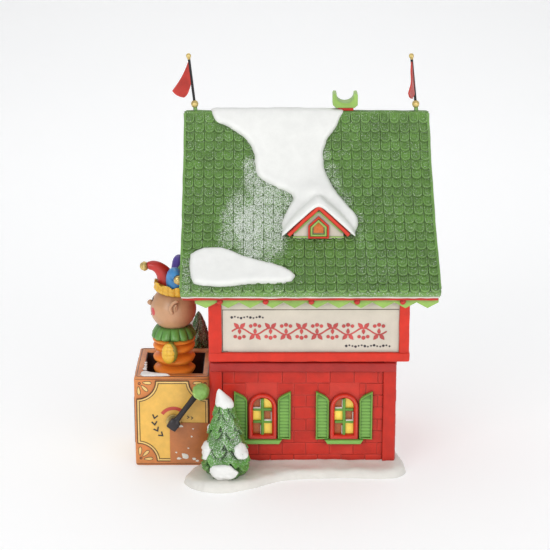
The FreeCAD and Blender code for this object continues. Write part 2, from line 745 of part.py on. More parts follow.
def jack():
    """The figure on the bellows: shoulder disc, ruff, head, ears, nose, arms and the hat's band."""
    node("jack_shoulder", cylinder("shoulder", jack_axis("bellows_top"), "bellows_radius", "shoulder_high"))
    floor = "bellows_top + shoulder_high"
    node("jack_ruff", turned("ruff", jack_axis(floor),
                             [("0", "0"), ("ruff_radius - 3", "0"), ("ruff_radius", "1.6"),
                              ("ruff_radius - 0.6", "3.2"), ("ruff_radius - 4", f"ruff_top - ({floor})"),
                              ("0", f"ruff_top - ({floor})")]))
    nose = sphere("nose_ball", ("jack_across - head_radius - 0.2", "jack_back", "head_high + 3"), "1.6")
    ears = []
    for label, side in (("near", -1), ("far", 1)):
        centre = ("jack_across + 2", f"jack_back + {side} * (head_radius - 0.8)", "head_high + 3.2")
        ears.append(sphere(f"ear_ball_{label}", centre, "2.6"))
    balls = node("jack_ears_and_nose", group("ears_and_nose_balls", nose, *ears))
    round_it = [("jack_across - 15", "jack_across + 15"), ("jack_back - 15", "jack_back + 15")]
    below = box("head_below", *round_it, ("head_high - 15", "ruff_top"))
    above = box("head_above", *round_it, ("band_floor", "head_high + 15"))
    ball = sphere("head_ball", jack_axis("head_high"), "head_radius")
    node("jack_head", cut("head", ball, below, above, balls))

    arms = []
    for label, side in (("near", -1), ("far", 1)):
        centre = ("arm_across", f"jack_back + {side} * arm_side")
        rod = cylinder(f"arm_rod_{label}", (*centre, "arm_low + arm_radius"), "arm_radius",
                       f"{floor} - arm_low - arm_radius")
        end = sphere(f"arm_end_{label}", (*centre, "arm_low + arm_radius"), "arm_radius")
        arms.append(fuse(f"arm_{label}", rod, end))
    tie = box("arm_tie", ("arm_across - 1.5", "arm_across + 1.5"),
              ("jack_back - arm_side", "jack_back + arm_side"), ("bellows_top", floor))
    lid = cylinder("arm_tie_clear", jack_axis("bellows_top - 1"), "bellows_radius", "shoulder_high + 2")
    node("jack_arms", cut("arm_pair", fuse("arm_pair_solid", *arms, tie), lid))

    node("hat_band", turned("band", jack_axis("band_floor"),
                            [("0", "0"), ("9.0", "0"), ("9.5", "1.6"), ("9.0", "4.6"),
                             ("7.6", "band_top - band_floor"), ("0", "band_top - band_floor")]))


def hat():
    """Four horns of different colours that curl outwards, each with a round bell at its tip."""
    side = ((4.6, 0), (5.3, 4.5), (7.4, 7.8), (10.0, 9.3), (12.2, 9.4))
    horns = {
        "horn_red": [(-out, 0, up) for out, up in side],
        "horn_green": [(out, 0, up) for out, up in side],
        "horn_blue": [(0, -4.6, 0), (0.1, -5.6, 4.4), (0.8, -7.8, 7.2),
                      (1.7, -10.3, 7.6), (2.5, -12.3, 6.6)],
        "horn_purple": [(0, 4.6, 0), (0.6, 5.3, 5.0), (2.2, 6.6, 9.0),
                        (2.8, 9.0, 10.8), (3.2, 11.2, 10.2)],
    }
    bells = []
    for name, spots in horns.items():
        tip, heading = horn(name, spots, (3.0, 3.1, 2.8, 2.3, 1.8))
        centre = tip + heading * size("bell_radius")
        bells.append(sphere(f"bell_{name}", [str(round(value, 4)) for value in centre], "bell_radius"))
    node("hat_bells", group("bell_set", *bells))


# ---------------------------------------------------------------- trees
def tree(name, across, back, foot, top, rings):
    """A stacked-skirt fir: rings holds (share of the height, radius) from foot to tip."""
    base = size(foot)
    tall = size(top) - base
    profile = [Vector(0, 0, 0)] + [Vector(radius, 0, share * tall) for share, radius in rings]
    profile += [Vector(0, 0, tall)]
    face = Part.Face(Part.makePolygon(profile + profile[:1]))
    item = feature(name + "_turned", face.revolve(Vector(), DIRECTIONS["z"], 360))
    item.Placement = Placement(Vector(size(across), size(back), base), Rotation())
    node(name, item)


def trees():
    tree("tree_front", "tree_across", "tree_back", "slab_top", "tree_top",
         [(0, 9.2), (0.12, 12.2), (0.3, 11.2), (0.42, 9.4),
          (0.56, 8.6), (0.7, 6.4), (0.85, 4.6), (0.96, 2.2)])
    tree("tree_rear", "rear_tree_across", "rear_tree_back", "slab_top", "rear_tree_top",
         [(0, 7.4), (0.14, 8.6), (0.36, 6.9), (0.4, 7.9),
          (0.62, 5.2), (0.66, 5.9), (0.88, 2.6), (0.97, 1.2)])


# ---------------------------------------------------------------- assembly
def build():
    roof_volume = under_slopes("roof_volume", "", "ridge_top")
    attic = under_slopes("attic_volume", "+ roof_thick", "ridge_top")
    snow_base()
    house_walls()
    upper_walls(attic)
    corner_posts()
    wall_plank()
    sign()
    sills = [window("left", "window_one"), window("right", "window_two")]
    node("window_sills", group("sill_pair", *sills))
    sockets = [flag("left", "flag_left_foot", "0"), flag("right", "flag_right_foot", "right_swing")]
    roof_shell(roof_volume, attic, roof_outline(), sockets)
    eaves()
    dormer_cap, clearing = dormer(roof_volume)
    stack = chimney(roof_volume)
    roof_snow(roof_volume, dormer_cap, clearing, stack)
    toy_box()
    crank()
    bellows()
    jack()
    hat()
    trees()


def export():
    """Recompute, refuse anything broken, and write one file for each sub-part."""
    doc.recompute()
    for item in doc.Objects:
        if "Invalid" in item.State or "Error" in item.State:
            raise RuntimeError(f"{item.Name} failed to compute")
    os.makedirs("parts", exist_ok=True)
    for name, item in NODES.items():
        shape = item.Shape
        if shape.isNull() or not shape.isValid() or not shape.Solids:
            raise RuntimeError(f"{name} has no valid solid")
        shape.exportStep(os.path.join("parts", f"{name}.step"))
        print(f"{name:24s} solids {len(shape.Solids):2d} volume {shape.Volume:10.1f}")


build()
export()
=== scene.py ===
"""Looks of the toy shop ornament with its jack-in-the-box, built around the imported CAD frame.

Lengths are in millimetres until a mesh is made. X runs along the shop front, +Y goes back, +Z is up.
"""
import bmesh
import bpy
import json
import math
import random
from mathutils import Matrix, Vector, noise


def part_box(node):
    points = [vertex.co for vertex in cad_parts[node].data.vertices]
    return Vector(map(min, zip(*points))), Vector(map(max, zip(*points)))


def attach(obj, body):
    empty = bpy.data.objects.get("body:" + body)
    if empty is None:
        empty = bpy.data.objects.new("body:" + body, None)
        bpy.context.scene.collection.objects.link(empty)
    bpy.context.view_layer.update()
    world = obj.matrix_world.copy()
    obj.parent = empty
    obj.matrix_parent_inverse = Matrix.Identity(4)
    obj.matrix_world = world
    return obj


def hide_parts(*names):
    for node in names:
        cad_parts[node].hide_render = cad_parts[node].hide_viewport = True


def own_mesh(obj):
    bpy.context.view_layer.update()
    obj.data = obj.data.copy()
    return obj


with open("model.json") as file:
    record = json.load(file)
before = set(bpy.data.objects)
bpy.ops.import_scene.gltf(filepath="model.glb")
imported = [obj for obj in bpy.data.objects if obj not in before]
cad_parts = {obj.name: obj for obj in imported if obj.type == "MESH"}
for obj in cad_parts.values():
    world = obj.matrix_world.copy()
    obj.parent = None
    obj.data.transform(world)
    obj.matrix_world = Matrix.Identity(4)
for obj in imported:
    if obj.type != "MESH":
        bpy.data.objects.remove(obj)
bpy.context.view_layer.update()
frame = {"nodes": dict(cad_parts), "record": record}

MM = 0.001
dice = random.Random(11)
noise.seed_set(5)        # without it, noise_vector takes its offset from the clock

# ---------------------------------------------------------------- places that several pieces share
WALL_LEFT, WALL_RIGHT, WALL_FRONT, WALL_REAR = -36.6, 54.9, -30.5, 47.5
PILLAR = 6.0             # width of a corner pillar
BRICK_FOOT = 4.2         # where the bricks start at the back and the sides
LAMP_HOLE = (9, 32)      # middle of the hole in the back wall
WINDOWS = (-10.8, 29.6)  # middles of the shop windows
BOARD_FACE = -36.5       # front of the sign board

# Each roof slope is part of a circle; the centre for the front one is ahead of the roof and above it.
RIDGE = 8.5              # how far back the ridge is
ARC_AHEAD = 166.8        # from the ridge forward to the arc's centre
ARC_HIGH = 230.1
ARC_RADIUS = 174.4
ARC_LONG = 91.9          # along the arc, from the eave to the ridge
ROOF_THICK = 4.0
EAVE_HIGH = 98
EAVE_TURN = math.asin((ARC_HIGH - EAVE_HIGH) / ARC_RADIUS)
RIDGE_FLAT = 4.0
ROOF_LONG = 2 * ARC_LONG + RIDGE_FLAT
DORMER = 16.4            # middle of the dormer
DORMER_FACE = -25.5

BOX_LEFT, BOX_FRONT, BOX_REAR, BOX_TOP = -74.5, -26.9, 17.7, 47.1
BOX_RIGHT = WALL_LEFT - 0.05
OPENING = (-70.4, -40.4, -20.9, 11.7)
HUB = (-55.1, 24.2)      # the crank's axis on the box front
AXIS = (-55.6, -4.2)     # the figure's upright axis
HEAD = Vector((*AXIS, 76.0))
HEAD_SIZE = 11.4

SUNK = -0.1              # a painted detail starts this far below the surface that it lies on

# ---------------------------------------------------------------- finishes, one for each material slot
# colour as 0-255 screen values, then how it differs from the ordinary glaze
FINISHES = {
    "snow": ((242, 242, 238), {"vary": 0.02, "wash_and_shade": 0.08, "wear": 0.0, "rough": 0.5}),
    "brick": ((200, 42, 26), {"vary": 0.08, "wash_and_shade": 0.45, "coat": 0.1, "shine": 0.3}),
    "sign_red": ((218, 46, 24), {"vary": 0.06, "coat": 0.15, "shine": 0.35}),
    "cream": ((217, 207, 191), {"vary": 0.03, "rough": 0.5, "wear": 0.0}),
    "shutter_green": ((94, 150, 44), {"vary": 0.10, "wear": 0.5}),
    # the panes glow with painted light, though no lamp is set behind them
    "pane_brown": ((176, 92, 38), {"vary": 0.10, "rough": 0.25, "wash_and_shade": 0.2, "painted_glow": 0.12}),
    "pane_yellow": ((255, 214, 84), {"vary": 0.10, "rough": 0.25, "wash_and_shade": 0.2, "painted_glow": 0.35}),
    "pane_amber": ((206, 104, 26), {"vary": 0.12, "rough": 0.25, "painted_glow": 0.06}),
    "shingle_green": ((92, 136, 52), {"vary": 0.14, "wash_and_shade": 0.7, "wear": 0.5, "coat": 0.1, "frosted": True}),
    "fascia_red": ((194, 42, 30), {"vary": 0.08, "coat": 0.15, "shine": 0.35}),
    "trim_green": ((146, 186, 84), {"vary": 0.10}),
    "brass": ((226, 196, 124), {"metal": 0.75, "rough": 0.34, "coat": 0.0}),
    "pole_black": ((24, 20, 24), {"vary": 0.2, "rough": 0.4, "wear": 0.0, "shine": 0.3}),
    "flag_red": ((194, 52, 40), {"vary": 0.12, "shine": 0.35}),
    "toy_orange": ((222, 134, 66), {"vary": 0.10, "wash_and_shade": 0.5, "wear": 0.3}),
    "toy_dark": ((48, 32, 34), {"vary": 0.2, "rough": 0.6}),
    "toy_yellow": ((242, 188, 84), {"vary": 0.07}),
    "steel": ((150, 150, 152), {"metal": 0.9, "rough": 0.32, "coat": 0.0}),
    "crank_black": ((38, 33, 36), {"vary": 0.2, "wear": 0.15, "shine": 0.3}),
    "knob_green": ((136, 182, 86), {"vary": 0.12, "wear": 0.5}),
    # the bellows glow a little: painted light that lifts them out of the head's shade
    "bellows_orange": ((255, 138, 44), {"vary": 0.10, "wash_and_shade": 0.35, "coat": 0.1, "shine": 0.3, "painted_glow": 0.1}),
    "ruff_green": ((98, 156, 66), {"vary": 0.12, "wash_and_shade": 0.6, "wear": 0.4}),
    "skin": ((209, 159, 119), {"vary": 0.05, "wash_and_shade": 0.35}),
    "arm_yellow": ((255, 200, 66), {"vary": 0.06, "wash_and_shade": 0.6}),
    "hat_yellow": ((252, 188, 56), {"vary": 0.10, "wash_and_shade": 0.5}),
    "horn_red": ((204, 44, 34), {"vary": 0.10}),
    "horn_blue": ((66, 148, 214), {"vary": 0.10}),
    "horn_purple": ((84, 62, 164), {"vary": 0.12}),
    "horn_green": ((104, 164, 72), {"vary": 0.10}),
    "tree_green": ((84, 146, 48), {"vary": 0.2, "wash_and_shade": 0.7, "wear": 0.6, "frosted": True}),
    "tree_dark": ((64, 132, 58), {"vary": 0.2, "wash_and_shade": 0.7, "wear": 0.4, "frosted": True}),
}
# painted details that take their finish from one of the slots above
PAINTS = {
    "line_dark": ((74, 44, 30), {"vary": 0.2, "wash_and_shade": 0.0, "wear": 0.0}),
    "ink": ((44, 34, 44), {"vary": 0.2, "wash_and_shade": 0.0, "wear": 0.0}),
    "sign_paint": ((204, 74, 70), {"vary": 0.14, "wash_and_shade": 0.0, "wear": 0.0}),
    "arc_red": ((196, 62, 44), {"vary": 0.1, "wash_and_shade": 0.0}),
    "plate_brown": ((186, 108, 52), {"vary": 0.10, "wash_and_shade": 0.3}),
    "cheek": ((216, 62, 66), {"vary": 0.1, "wash_and_shade": 0.0}),
    # olive for the sleeves, which also paints the shade on the far side of each mitt
    "sleeve_and_shade_olive": ((150, 146, 56), {"vary": 0.14}),
    "post_red": ((200, 44, 28), {"vary": 0.06, "wash_and_shade": 0.45, "coat": 0.1, "shine": 0.3}),
    # a darker red for the plank under the sign: painted shade beneath the board
    "plank_shaded_red": ((178, 42, 36), {"vary": 0.06, "wash_and_shade": 0.45, "shine": 0.3}),
    "slab_white": ((236, 233, 225), {"vary": 0.02, "wash_and_shade": 0.15, "wear": 0.0, "rough": 0.6}),
    "frame_rim": ((216, 72, 60), {"vary": 0.1}),
    "stripe": ((250, 208, 128), {"vary": 0.08, "wear": 0.0}),
    "eave_white": ((236, 232, 220), {"vary": 0.05, "wear": 0.0}),
}


def clamped(value, low=0.0, high=1.0):
    return min(max(value, low), high)


def linear(colour, share=1.0):
    """Screen values to the linear colour that a shader takes."""
    parts = [clamped(part * share / 255) for part in colour]
    return [part / 12.92 if part <= 0.04045 else ((part + 0.055) / 1.055) ** 2.4 for part in parts] + [1.0]


def glaze(name, colour, vary=0.1, rough=0.38, coat=0.25, wash_and_shade=0.5, wear=0.2, metal=0.0, painted_glow=0.0,
          shine=0.5, frosted=False):
    """Brushed-on ceramic glaze: uneven tone, a dark wash and painted shade in the creases and under
    overhangs, thin colour on the edges.
    """
    material = bpy.data.materials.new(name)
    material.use_nodes = True
    tree = material.node_tree
    tree.nodes.clear()

    def add(kind, settings=None, **values):
        item = tree.nodes.new(kind)
        for key, value in (settings or {}).items():
            setattr(item, key, value)
        for key, value in values.items():
            item.inputs[key.replace("_", " ")].default_value = value
        return item

    def texture(scale, detail):
        item = add("ShaderNodeTexNoise", Scale=scale, Detail=detail, Roughness=0.6)
        tree.links.new(place, item.inputs["Vector"])
        return item.outputs["Fac"]

    def ranged(source, low, high, start, end):
        item = add("ShaderNodeMapRange", From_Min=low, From_Max=high, To_Min=start, To_Max=end)
        tree.links.new(source, item.inputs["Value"])
        return item.outputs["Result"]

    def mixed(factor, first, second, blend="MIX"):
        item = add("ShaderNodeMix", {"data_type": "RGBA", "blend_type": blend})
        for index, source in ((0, factor), (6, first), (7, second)):
            if isinstance(source, bpy.types.NodeSocket):
                tree.links.new(source, item.inputs[index])
            else:
                item.inputs[index].default_value = source
        return item.outputs[2]

    def attribute(label):
        return add("ShaderNodeAttribute", {"attribute_name": label}).outputs["Fac"]

    place = add("ShaderNodeTexCoord").outputs["Object"]
    broad = texture(130, 3)
    fine = texture(1100, 5)
    tone = mixed(ranged(broad, 0.3, 0.7, 0, 1), linear(colour, 1 - vary), linear(colour, 1 + vary * 0.6))
    tone = mixed(ranged(fine, 0.35, 0.75, 0, vary * 1.5), tone, linear(colour, 1 - 2 * vary))
    tone = mixed(1.0, tone, ranged(attribute("tint"), -1, 1, 0.6, 1.4), "MULTIPLY")
    if wear:
        edge = add("ShaderNodeNewGeometry").outputs["Pointiness"]
        tone = mixed(ranged(edge, 0.51, 0.6, 0, wear), tone, linear([part + 60 for part in colour]))
    # Painted shade with a dark wash: the colour darkens where ambient occlusion finds creases, joints and
    # overhangs.
    if wash_and_shade:
        shelter = add("ShaderNodeAmbientOcclusion", {"samples": 6}, Distance=0.0028).outputs["AO"]
        tone = mixed(ranged(shelter, 0.45, 0.95, wash_and_shade, 0), tone, linear(colour, 0.42))
    gloss = ranged(fine, 0.3, 0.7, rough - 0.06, rough + 0.1)
    if frosted:
        grit = texture(2300, 2)
        cover = add("ShaderNodeMath", {"operation": "SUBTRACT"})
        tree.links.new(ranged(attribute("frost"), 0, 1, 0.32, 0.66), cover.inputs[0])
        tree.links.new(grit, cover.inputs[1])
        cover = ranged(cover.outputs[0], -0.05, 0.09, 0, 0.9)
        tone = mixed(cover, tone, linear((238, 240, 238)))
    surface = add("ShaderNodeBsdfPrincipled", Metallic=metal)
    surface.inputs["Coat Weight"].default_value = coat
    surface.inputs["Coat Roughness"].default_value = 0.18
    surface.inputs["Specular IOR Level"].default_value = shine
    tree.links.new(tone, surface.inputs["Base Color"])
    tree.links.new(gloss, surface.inputs["Roughness"])
    # Painted light: a finish given a glow shines though it is no lamp.
    if painted_glow:
        tree.links.new(tone, surface.inputs["Emission Color"])
        surface.inputs["Emission Strength"].default_value = painted_glow
    relief = add("ShaderNodeBump", Strength=0.25, Distance=0.0003)
    tree.links.new(fine, relief.inputs["Height"])
    tree.links.new(relief.outputs[0], surface.inputs["Normal"])
    tree.links.new(surface.outputs[0], add("ShaderNodeOutputMaterial").inputs["Surface"])
    return material


MATERIALS = {name: glaze(name, colour, **changes)
             for name, (colour, changes) in (FINISHES | PAINTS).items()}


# ---------------------------------------------------------------- mesh building
def place_piece(mesh, name, slot, stands_for, body, paint=None):
    """The object for a mesh, in its finish and riding on its body."""
    mesh.materials.append(MATERIALS[paint or slot])
    item = bpy.data.objects.new(name, mesh)
    bpy.context.scene.collection.objects.link(item)
    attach(item, body)
    if stands_for:
        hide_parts(*stands_for)
    return item


class Clay:
    """Points and faces of one piece, each point with a tint (-1 to 1) and a share of frost."""

    def __init__(self):
        self.points, self.faces, self.tints, self.frosts = [], [], [], []

    def add(self, points, faces, tint=0.0, frost=0.0):
        base = len(self.points)
        self.points += [tuple(point) for point in points]
        self.faces += [[base + index for index in face] for face in faces]
        self.tints += tint if isinstance(tint, list) else [tint] * len(points)
        self.frosts += frost if isinstance(frost, list) else [frost] * len(points)
        return self

    def make(self, name, slot, stands_for=(), body="ornament", paint=None, sharp=42):
        """The finished object, riding on its body."""
        mesh = bpy.data.meshes.new(name)
        mesh.from_pydata([[value * MM for value in point] for point in self.points], [], self.faces)
        for label, values in (("tint", self.tints), ("frost", self.frosts)):
            mesh.attributes.new(label, "FLOAT", "POINT").data.foreach_set("value", values)
        work = bmesh.new()
        work.from_mesh(mesh)
        bmesh.ops.recalc_face_normals(work, faces=work.faces)
        work.to_mesh(mesh)
        work.free()
        mesh.shade_smooth()
        mesh.set_sharp_from_angle(angle=math.radians(sharp))
        return place_piece(mesh, name, slot, stands_for, body, paint)


def around(count):
    """Equal turns round a circle."""
    return [2 * math.pi * number / count for number in range(count)]


def oval(centre, across, up, count):
    """An anticlockwise outline of an oval on a flat place."""
    return [(centre[0] + across * math.cos(turn), centre[1] + up * math.sin(turn)) for turn in around(count)]


def wobble(point, size=9.0, amount=0.12, seed=0.0):
    """A slow uneven shift, as in hand-finished clay."""
    spot = Vector(point) / size + Vector((seed, 0, 0))
    return Vector(point) + noise.noise_vector(spot) * amount


def grid(rows, columns, closed=False):
    """Faces of a grid of points stored row by row; closed joins the last column to the first."""
    faces = []
    for row in range(rows - 1):
        for column in range(columns if closed else columns - 1):
            near, far = row * columns + column, row * columns + (column + 1) % columns
            faces.append([near, far, far + columns, near + columns])
    return faces


def loft(rings, caps=True):
    """Points and faces through closed rings of equal length, capped at both ends."""
    columns = len(rings[0])
    points = [point for ring in rings for point in ring]
    faces = grid(len(rings), columns, True)
    if caps:
        faces.append(list(range(columns))[::-1])
        faces.append(list(range(len(points) - columns, len(points))))
    return points, faces


def smooth_line(spots, steps=6, closed=False):
    """A Catmull-Rom curve through spots of any size of tuple."""
    count = len(spots)
    result = []
    for index in range(count if closed else count - 1):
        if closed:
            four = [spots[(index + shift) % count] for shift in (-1, 0, 1, 2)]
        else:
            four = [spots[clamped(index + shift, 0, count - 1)] for shift in (-1, 0, 1, 2)]
        for step in range(steps):
            t = step / steps
            weights = ((-t + 2 * t * t - t ** 3) / 2, (2 - 5 * t * t + 3 * t ** 3) / 2,
                       (t + 4 * t * t - 3 * t ** 3) / 2, (-t * t + t ** 3) / 2)
            result.append(tuple(sum(w * spot[axis] for w, spot in zip(weights, four))
                                for axis in range(len(spots[0]))))
    if not closed:
        result.append(tuple(spots[-1]))
    return result


def tube(spots, sides=18, steps=6):
    """A round rod through (x, y, z, radius) spots."""
    line = smooth_line(spots, steps)
    places = [Vector(spot[:3]) for spot in line]
    rings = []
    across = None
    for index, place in enumerate(places):
        heading = (places[min(index + 1, len(places) - 1)] - places[max(index - 1, 0)]).normalized()
        if across is None:
            across = heading.orthogonal().normalized()
        across = (across - heading * across.dot(heading)).normalized()
        other = heading.cross(across)
        rings.append([place + (across * math.cos(turn) + other * math.sin(turn)) * line[index][3]
                      for turn in around(sides)])
    return loft(rings)


def turned(profile, centre, sides=48, shape=None):
    """A lathe form from (radius, height) pairs; shape(turn, radius, height) may change both."""
    rings = []
    for radius, height in profile:
        ring = []
        for turn in around(sides):
            reach, high = shape(turn, radius, height) if shape else (radius, height)
            ring.append(Vector(centre) + Vector((reach * math.cos(turn), reach * math.sin(turn), high)))
        rings.append(ring)
    return loft(rings)


def ball(centre, size, sides=28, rings=16, shift=None):
    """An egg with half-axes size, its poles closed by small caps."""
    profile = []
    for row in range(rings + 1):
        turn = math.pi * clamped(row / rings, 0.012, 0.988)
        profile.append([Vector(centre) + Vector((size[0] * math.sin(turn) * math.cos(side),
                                                 size[1] * math.sin(turn) * math.sin(side),
                                                 -size[2] * math.cos(turn)))
                        for side in around(sides)])
    if shift:
        profile = [[shift(point) for point in ring] for ring in profile]
    return loft(profile)


def rounded_box(low, high, radius=0.6, step=4.0, amount=0.10, seed=0.0):
    """A block with rounded edges and a slightly uneven surface."""
    low, high = Vector(low), Vector(high)
    radius = min(radius, min(high - low) * 0.45)
    lines = []
    for axis in range(3):
        start, end = low[axis], high[axis]
        inner = max(int((end - start - 2 * radius) / step), 1)
        lines.append([start, start + radius * 0.3, start + radius * 0.65]
                     + [start + radius + (end - start - 2 * radius) * number / inner
                        for number in range(inner + 1)]
                     + [end - radius * 0.65, end - radius * 0.3, end])
    where, points, faces = {}, [], []

    def corner(spot):
        if spot not in where:
            where[spot] = len(points)
            raw = Vector(spot)
            core = Vector([clamped(raw[axis], low[axis] + radius, high[axis] - radius) for axis in range(3)])
            away = raw - core
            rounded = core + away.normalized() * radius if away.length > 1e-6 else raw
            points.append(wobble(rounded, 7.0, amount, seed))
        return where[spot]

    for axis in range(3):
        one, two = (axis + 1) % 3, (axis + 2) % 3
        for level in (lines[axis][0], lines[axis][-1]):
            for i in range(len(lines[one]) - 1):
                for j in range(len(lines[two]) - 1):
                    face = []
                    for a, b in ((i, j), (i + 1, j), (i + 1, j + 1), (i, j + 1)):
                        spot = [0.0, 0.0, 0.0]
                        spot[axis], spot[one], spot[two] = level, lines[one][a], lines[two][b]
                        face.append(corner(tuple(spot)))
                    faces.append(face)
    return points, faces


def offset(line, distance, closed=True):
    """A flat line moved to its left by a distance, with mitred corners."""
    count = len(line)
    result = []
    for index, spot in enumerate(line):
        before = line[index - 1] if closed or index else spot
        after = line[(index + 1) % count] if closed or index < count - 1 else spot
        normals = []
        for start, end in ((before, spot), (spot, after)):
            across, up = end[0] - start[0], end[1] - start[1]
            length = math.hypot(across, up)
            if length > 1e-9:
                normals.append((-up / length, across / length))
        mean = [sum(parts) / len(normals) for parts in zip(*normals)]
        share = max(mean[0] ** 2 + mean[1] ** 2, 0.35)
        result.append((spot[0] + mean[0] * distance / share, spot[1] + mean[1] * distance / share))
    return result


def moulding(line, profile, place):
    """A closed moulding: profile holds (inset, height) pairs, place(u, v, height) gives the point."""
    rings = [[place(*spot, height) for spot in offset(line, inset)] for inset, height in profile]
    points = [point for ring in rings for point in ring]
    faces = grid(len(rings), len(line), True)
    count, last = len(line), len(points) - len(line)
    faces += [[last + side, last + (side + 1) % count, (side + 1) % count, side] for side in range(count)]
    return points, faces


def ribbon(line, width, height, place, closed=False):
    """A painted or raised line of an even width."""
    half = width / 2
    sides = [(-half, SUNK), (-half * 0.8, height), (half * 0.8, height), (half, SUNK)]
    if closed:
        return moulding(line, sides, place)
    lanes = [offset(line, inset, False) for inset, _ in sides]
    rings = [[place(*lane[index], level) for lane, (_, level) in zip(lanes, sides)]
             for index in range(len(line))]
    return loft(rings)


def plate(line, low, high, place, bevel=0.25):
    """A flat plate of any outline (anticlockwise) with a softened edge."""
    steps = ((0, low), (0, high - bevel), (bevel * 0.3, high - bevel * 0.3), (bevel, high))
    return loft([[place(*spot, level) for spot in offset(line, inset)] for inset, level in steps])


def front(u, v, out):
    """A place over the shop's front wall."""
    return (u, WALL_FRONT - out, v)


# ---------------------------------------------------------------- ground and walls
def drift_over(outline, thick, edge, place, cell=1.0, seed=0.0, floor=-0.5, swell=None):
    """Snow over a closed flat outline: a fine grid, pulled in at its rim, that rises to its thickness."""
    def waver(u, v):
        return 0.35 * noise.noise(Vector((u, v, seed)) / 2.2)

    line = [(u + waver(u, v), v + waver(v, u)) for u, v in smooth_line(outline, 10, True)]
    pairs = list(zip(line, line[1:] + line[:1]))

    def nearest(u, v):
        """The gap to the outline, its nearest spot, and whether the place is inside it."""
        best, spot, inside = math.inf, None, False
        for (a, b), (c, d) in pairs:
            along, up = c - a, d - b
            share = clamped(((u - a) * along + (v - b) * up) / (along * along + up * up + 1e-12))
            x, y = a + share * along, b + share * up
            gap = (x - u) ** 2 + (y - v) ** 2
            if gap < best:
                best, spot = gap, (x, y)
            if (b > v) != (d > v) and u < (c - a) * (v - b) / (d - b) + a:
                inside = not inside
        return math.sqrt(best), spot, inside

    low_u, high_u = min(u for u, _ in line) - cell, max(u for u, _ in line) + cell
    low_v, high_v = min(v for _, v in line) - cell, max(v for _, v in line) + cell
    columns, rows = int((high_u - low_u) / cell) + 2, int((high_v - low_v) / cell) + 2
    found = {(i, j): nearest(low_u + i * cell, low_v + j * cell)
             for i in range(columns) for j in range(rows)}
    top, base, points, faces = {}, {}, [], []

    def corner(i, j):
        if (i, j) not in top:
            gap, (u, v), inside = found[(i, j)]
            if inside and gap > cell * 0.3:
                u, v = low_u + i * cell, low_v + j * cell
            else:
                gap = 0.0
            rise = math.sqrt(max(1 - (1 - min(gap / edge, 1)) ** 2, 0))
            here = Vector((u, v, seed))
            rough = 1 + 0.16 * noise.noise(here / 9) + 0.05 * noise.noise(here / 2.5)
            high = thick * rise * rough + (swell(u, v) * rise if swell else 0)
            top[(i, j)] = len(points)
            points.append(place(u, v, high))
            base[(i, j)] = len(points)
            points.append(place(u, v, floor))
        return top[(i, j)], base[(i, j)]

    edges = {}
    for i in range(columns - 1):
        for j in range(rows - 1):
            cells = [(i, j), (i + 1, j), (i + 1, j + 1), (i, j + 1)]
            if sum(found[spot][2] for spot in cells) < 1:
                continue
            uppers, lowers = zip(*[corner(*spot) for spot in cells])
            faces += [list(uppers), list(lowers)[::-1]]
            for number in range(4):
                pair = (cells[number], cells[(number + 1) % 4])
                edges[pair] = edges.get(pair, 0) + 1
    for (start, end) in edges:
        if (end, start) not in edges:
            faces.append([top[end], top[start], base[start], base[end]])
    return points, faces


def ground():
    """The snow slab: a thick sheet with a soft, lumpy rim, a little higher against the walls."""
    outline = [(-42, -28), (-46.5, -38), (-49.2, -48), (-42.5, -57.5), (-30, -60.8), (-16, -55.5), (1, -45.5),
               (28, -42.8), (52, -43.3), (59.6, -38), (60.4, -30), (58.6, -21), (57.0, -12), (57.0, 28),
               (56.6, 51.6), (20, 56.6), (-22, 55.6),
               (-49.6, 50.6), (-59.5, 38), (-59.5, 20), (-56.5, -5)]

    def swell(u, v):
        beside = max(WALL_LEFT - u, u - WALL_RIGHT, WALL_FRONT - v, v - WALL_REAR, 0)
        under_box = u < WALL_LEFT + 1 and BOX_FRONT - 0.6 < v < BOX_REAR + 0.3
        round_tree = math.hypot(u + 28.9, v + 46) - 8
        if under_box:
            return -1.9
        return 1.3 * math.exp(-beside / 4.5) + 0.9 * math.exp(-max(round_tree, 0) / 3)

    def laid(u, v, out):
        return (u, v, max(out, 0.0))

    Clay().add(*drift_over(outline, 3.7, 3.4, laid, 1.2, 3.0, 0.0, swell)
               ).make("ground_snow", "snow", ["snow_base"], paint="slab_white")


def brick(clay, place, low_u, high_u, low_v, high_v):
    """One brick, its edges worn round."""
    if high_u - low_u < 1.4 or high_v - low_v < 1.4:
        return
    joint, high = 0.17, dice.uniform(0.26, 0.44)
    rings = []
    for inset, out in ((0, -0.1), (0.04, high * 0.6), (0.18, high * 0.92), (0.5, high)):
        a, b = low_u + joint + inset, high_u - joint - inset
        c, d = low_v + joint + inset, high_v - joint - inset
        lean = [dice.uniform(-0.06, 0.06) for _ in range(4)]
        rings.append([place(a + lean[0], c + lean[1], out), place(b + lean[1], c + lean[2], out),
                      place(b + lean[2], d + lean[3], out), place(a + lean[3], d + lean[0], out)])
    clay.add(*loft(rings), tint=dice.uniform(-0.2, 0.16))


def brickwork(clay, place, across, up, holes=(), limit=None):
    """Running bond between two limits on each axis, left out over the holes and past a limit."""
    tall, long = 6.3, 11.8
    for row in range(int((up[1] - up[0]) / tall) + 1):
        low_v, high_v = up[0] + row * tall, min(up[0] + (row + 1) * tall, up[1])
        start, end = limit(high_v) if limit else across
        start, end = max(start, across[0]), min(end, across[1])
        first = across[0] - (long / 2 if row % 2 else 0)
        for number in range(int((across[1] - first) / long) + 1):
            spans = [(max(first + number * long, start), min(first + (number + 1) * long, end))]
            for a, b, c, d in holes:
                if high_v > c + 0.5 and low_v < d - 0.5:
                    spans = [piece for low, high in spans
                             for piece in ((low, min(high, a)), (max(low, b), high)) if piece[1] > piece[0]]
            for low_u, high_u in spans:
                brick(clay, place, low_u, high_u, low_v, high_v)


def under_roof(high):
    """How far the gable reaches at a height, front to back."""
    reach = ARC_AHEAD - math.sqrt(max((ARC_RADIUS + ROOF_THICK) ** 2 - (ARC_HIGH - high) ** 2, 0))
    return RIDGE - reach, RIDGE + reach


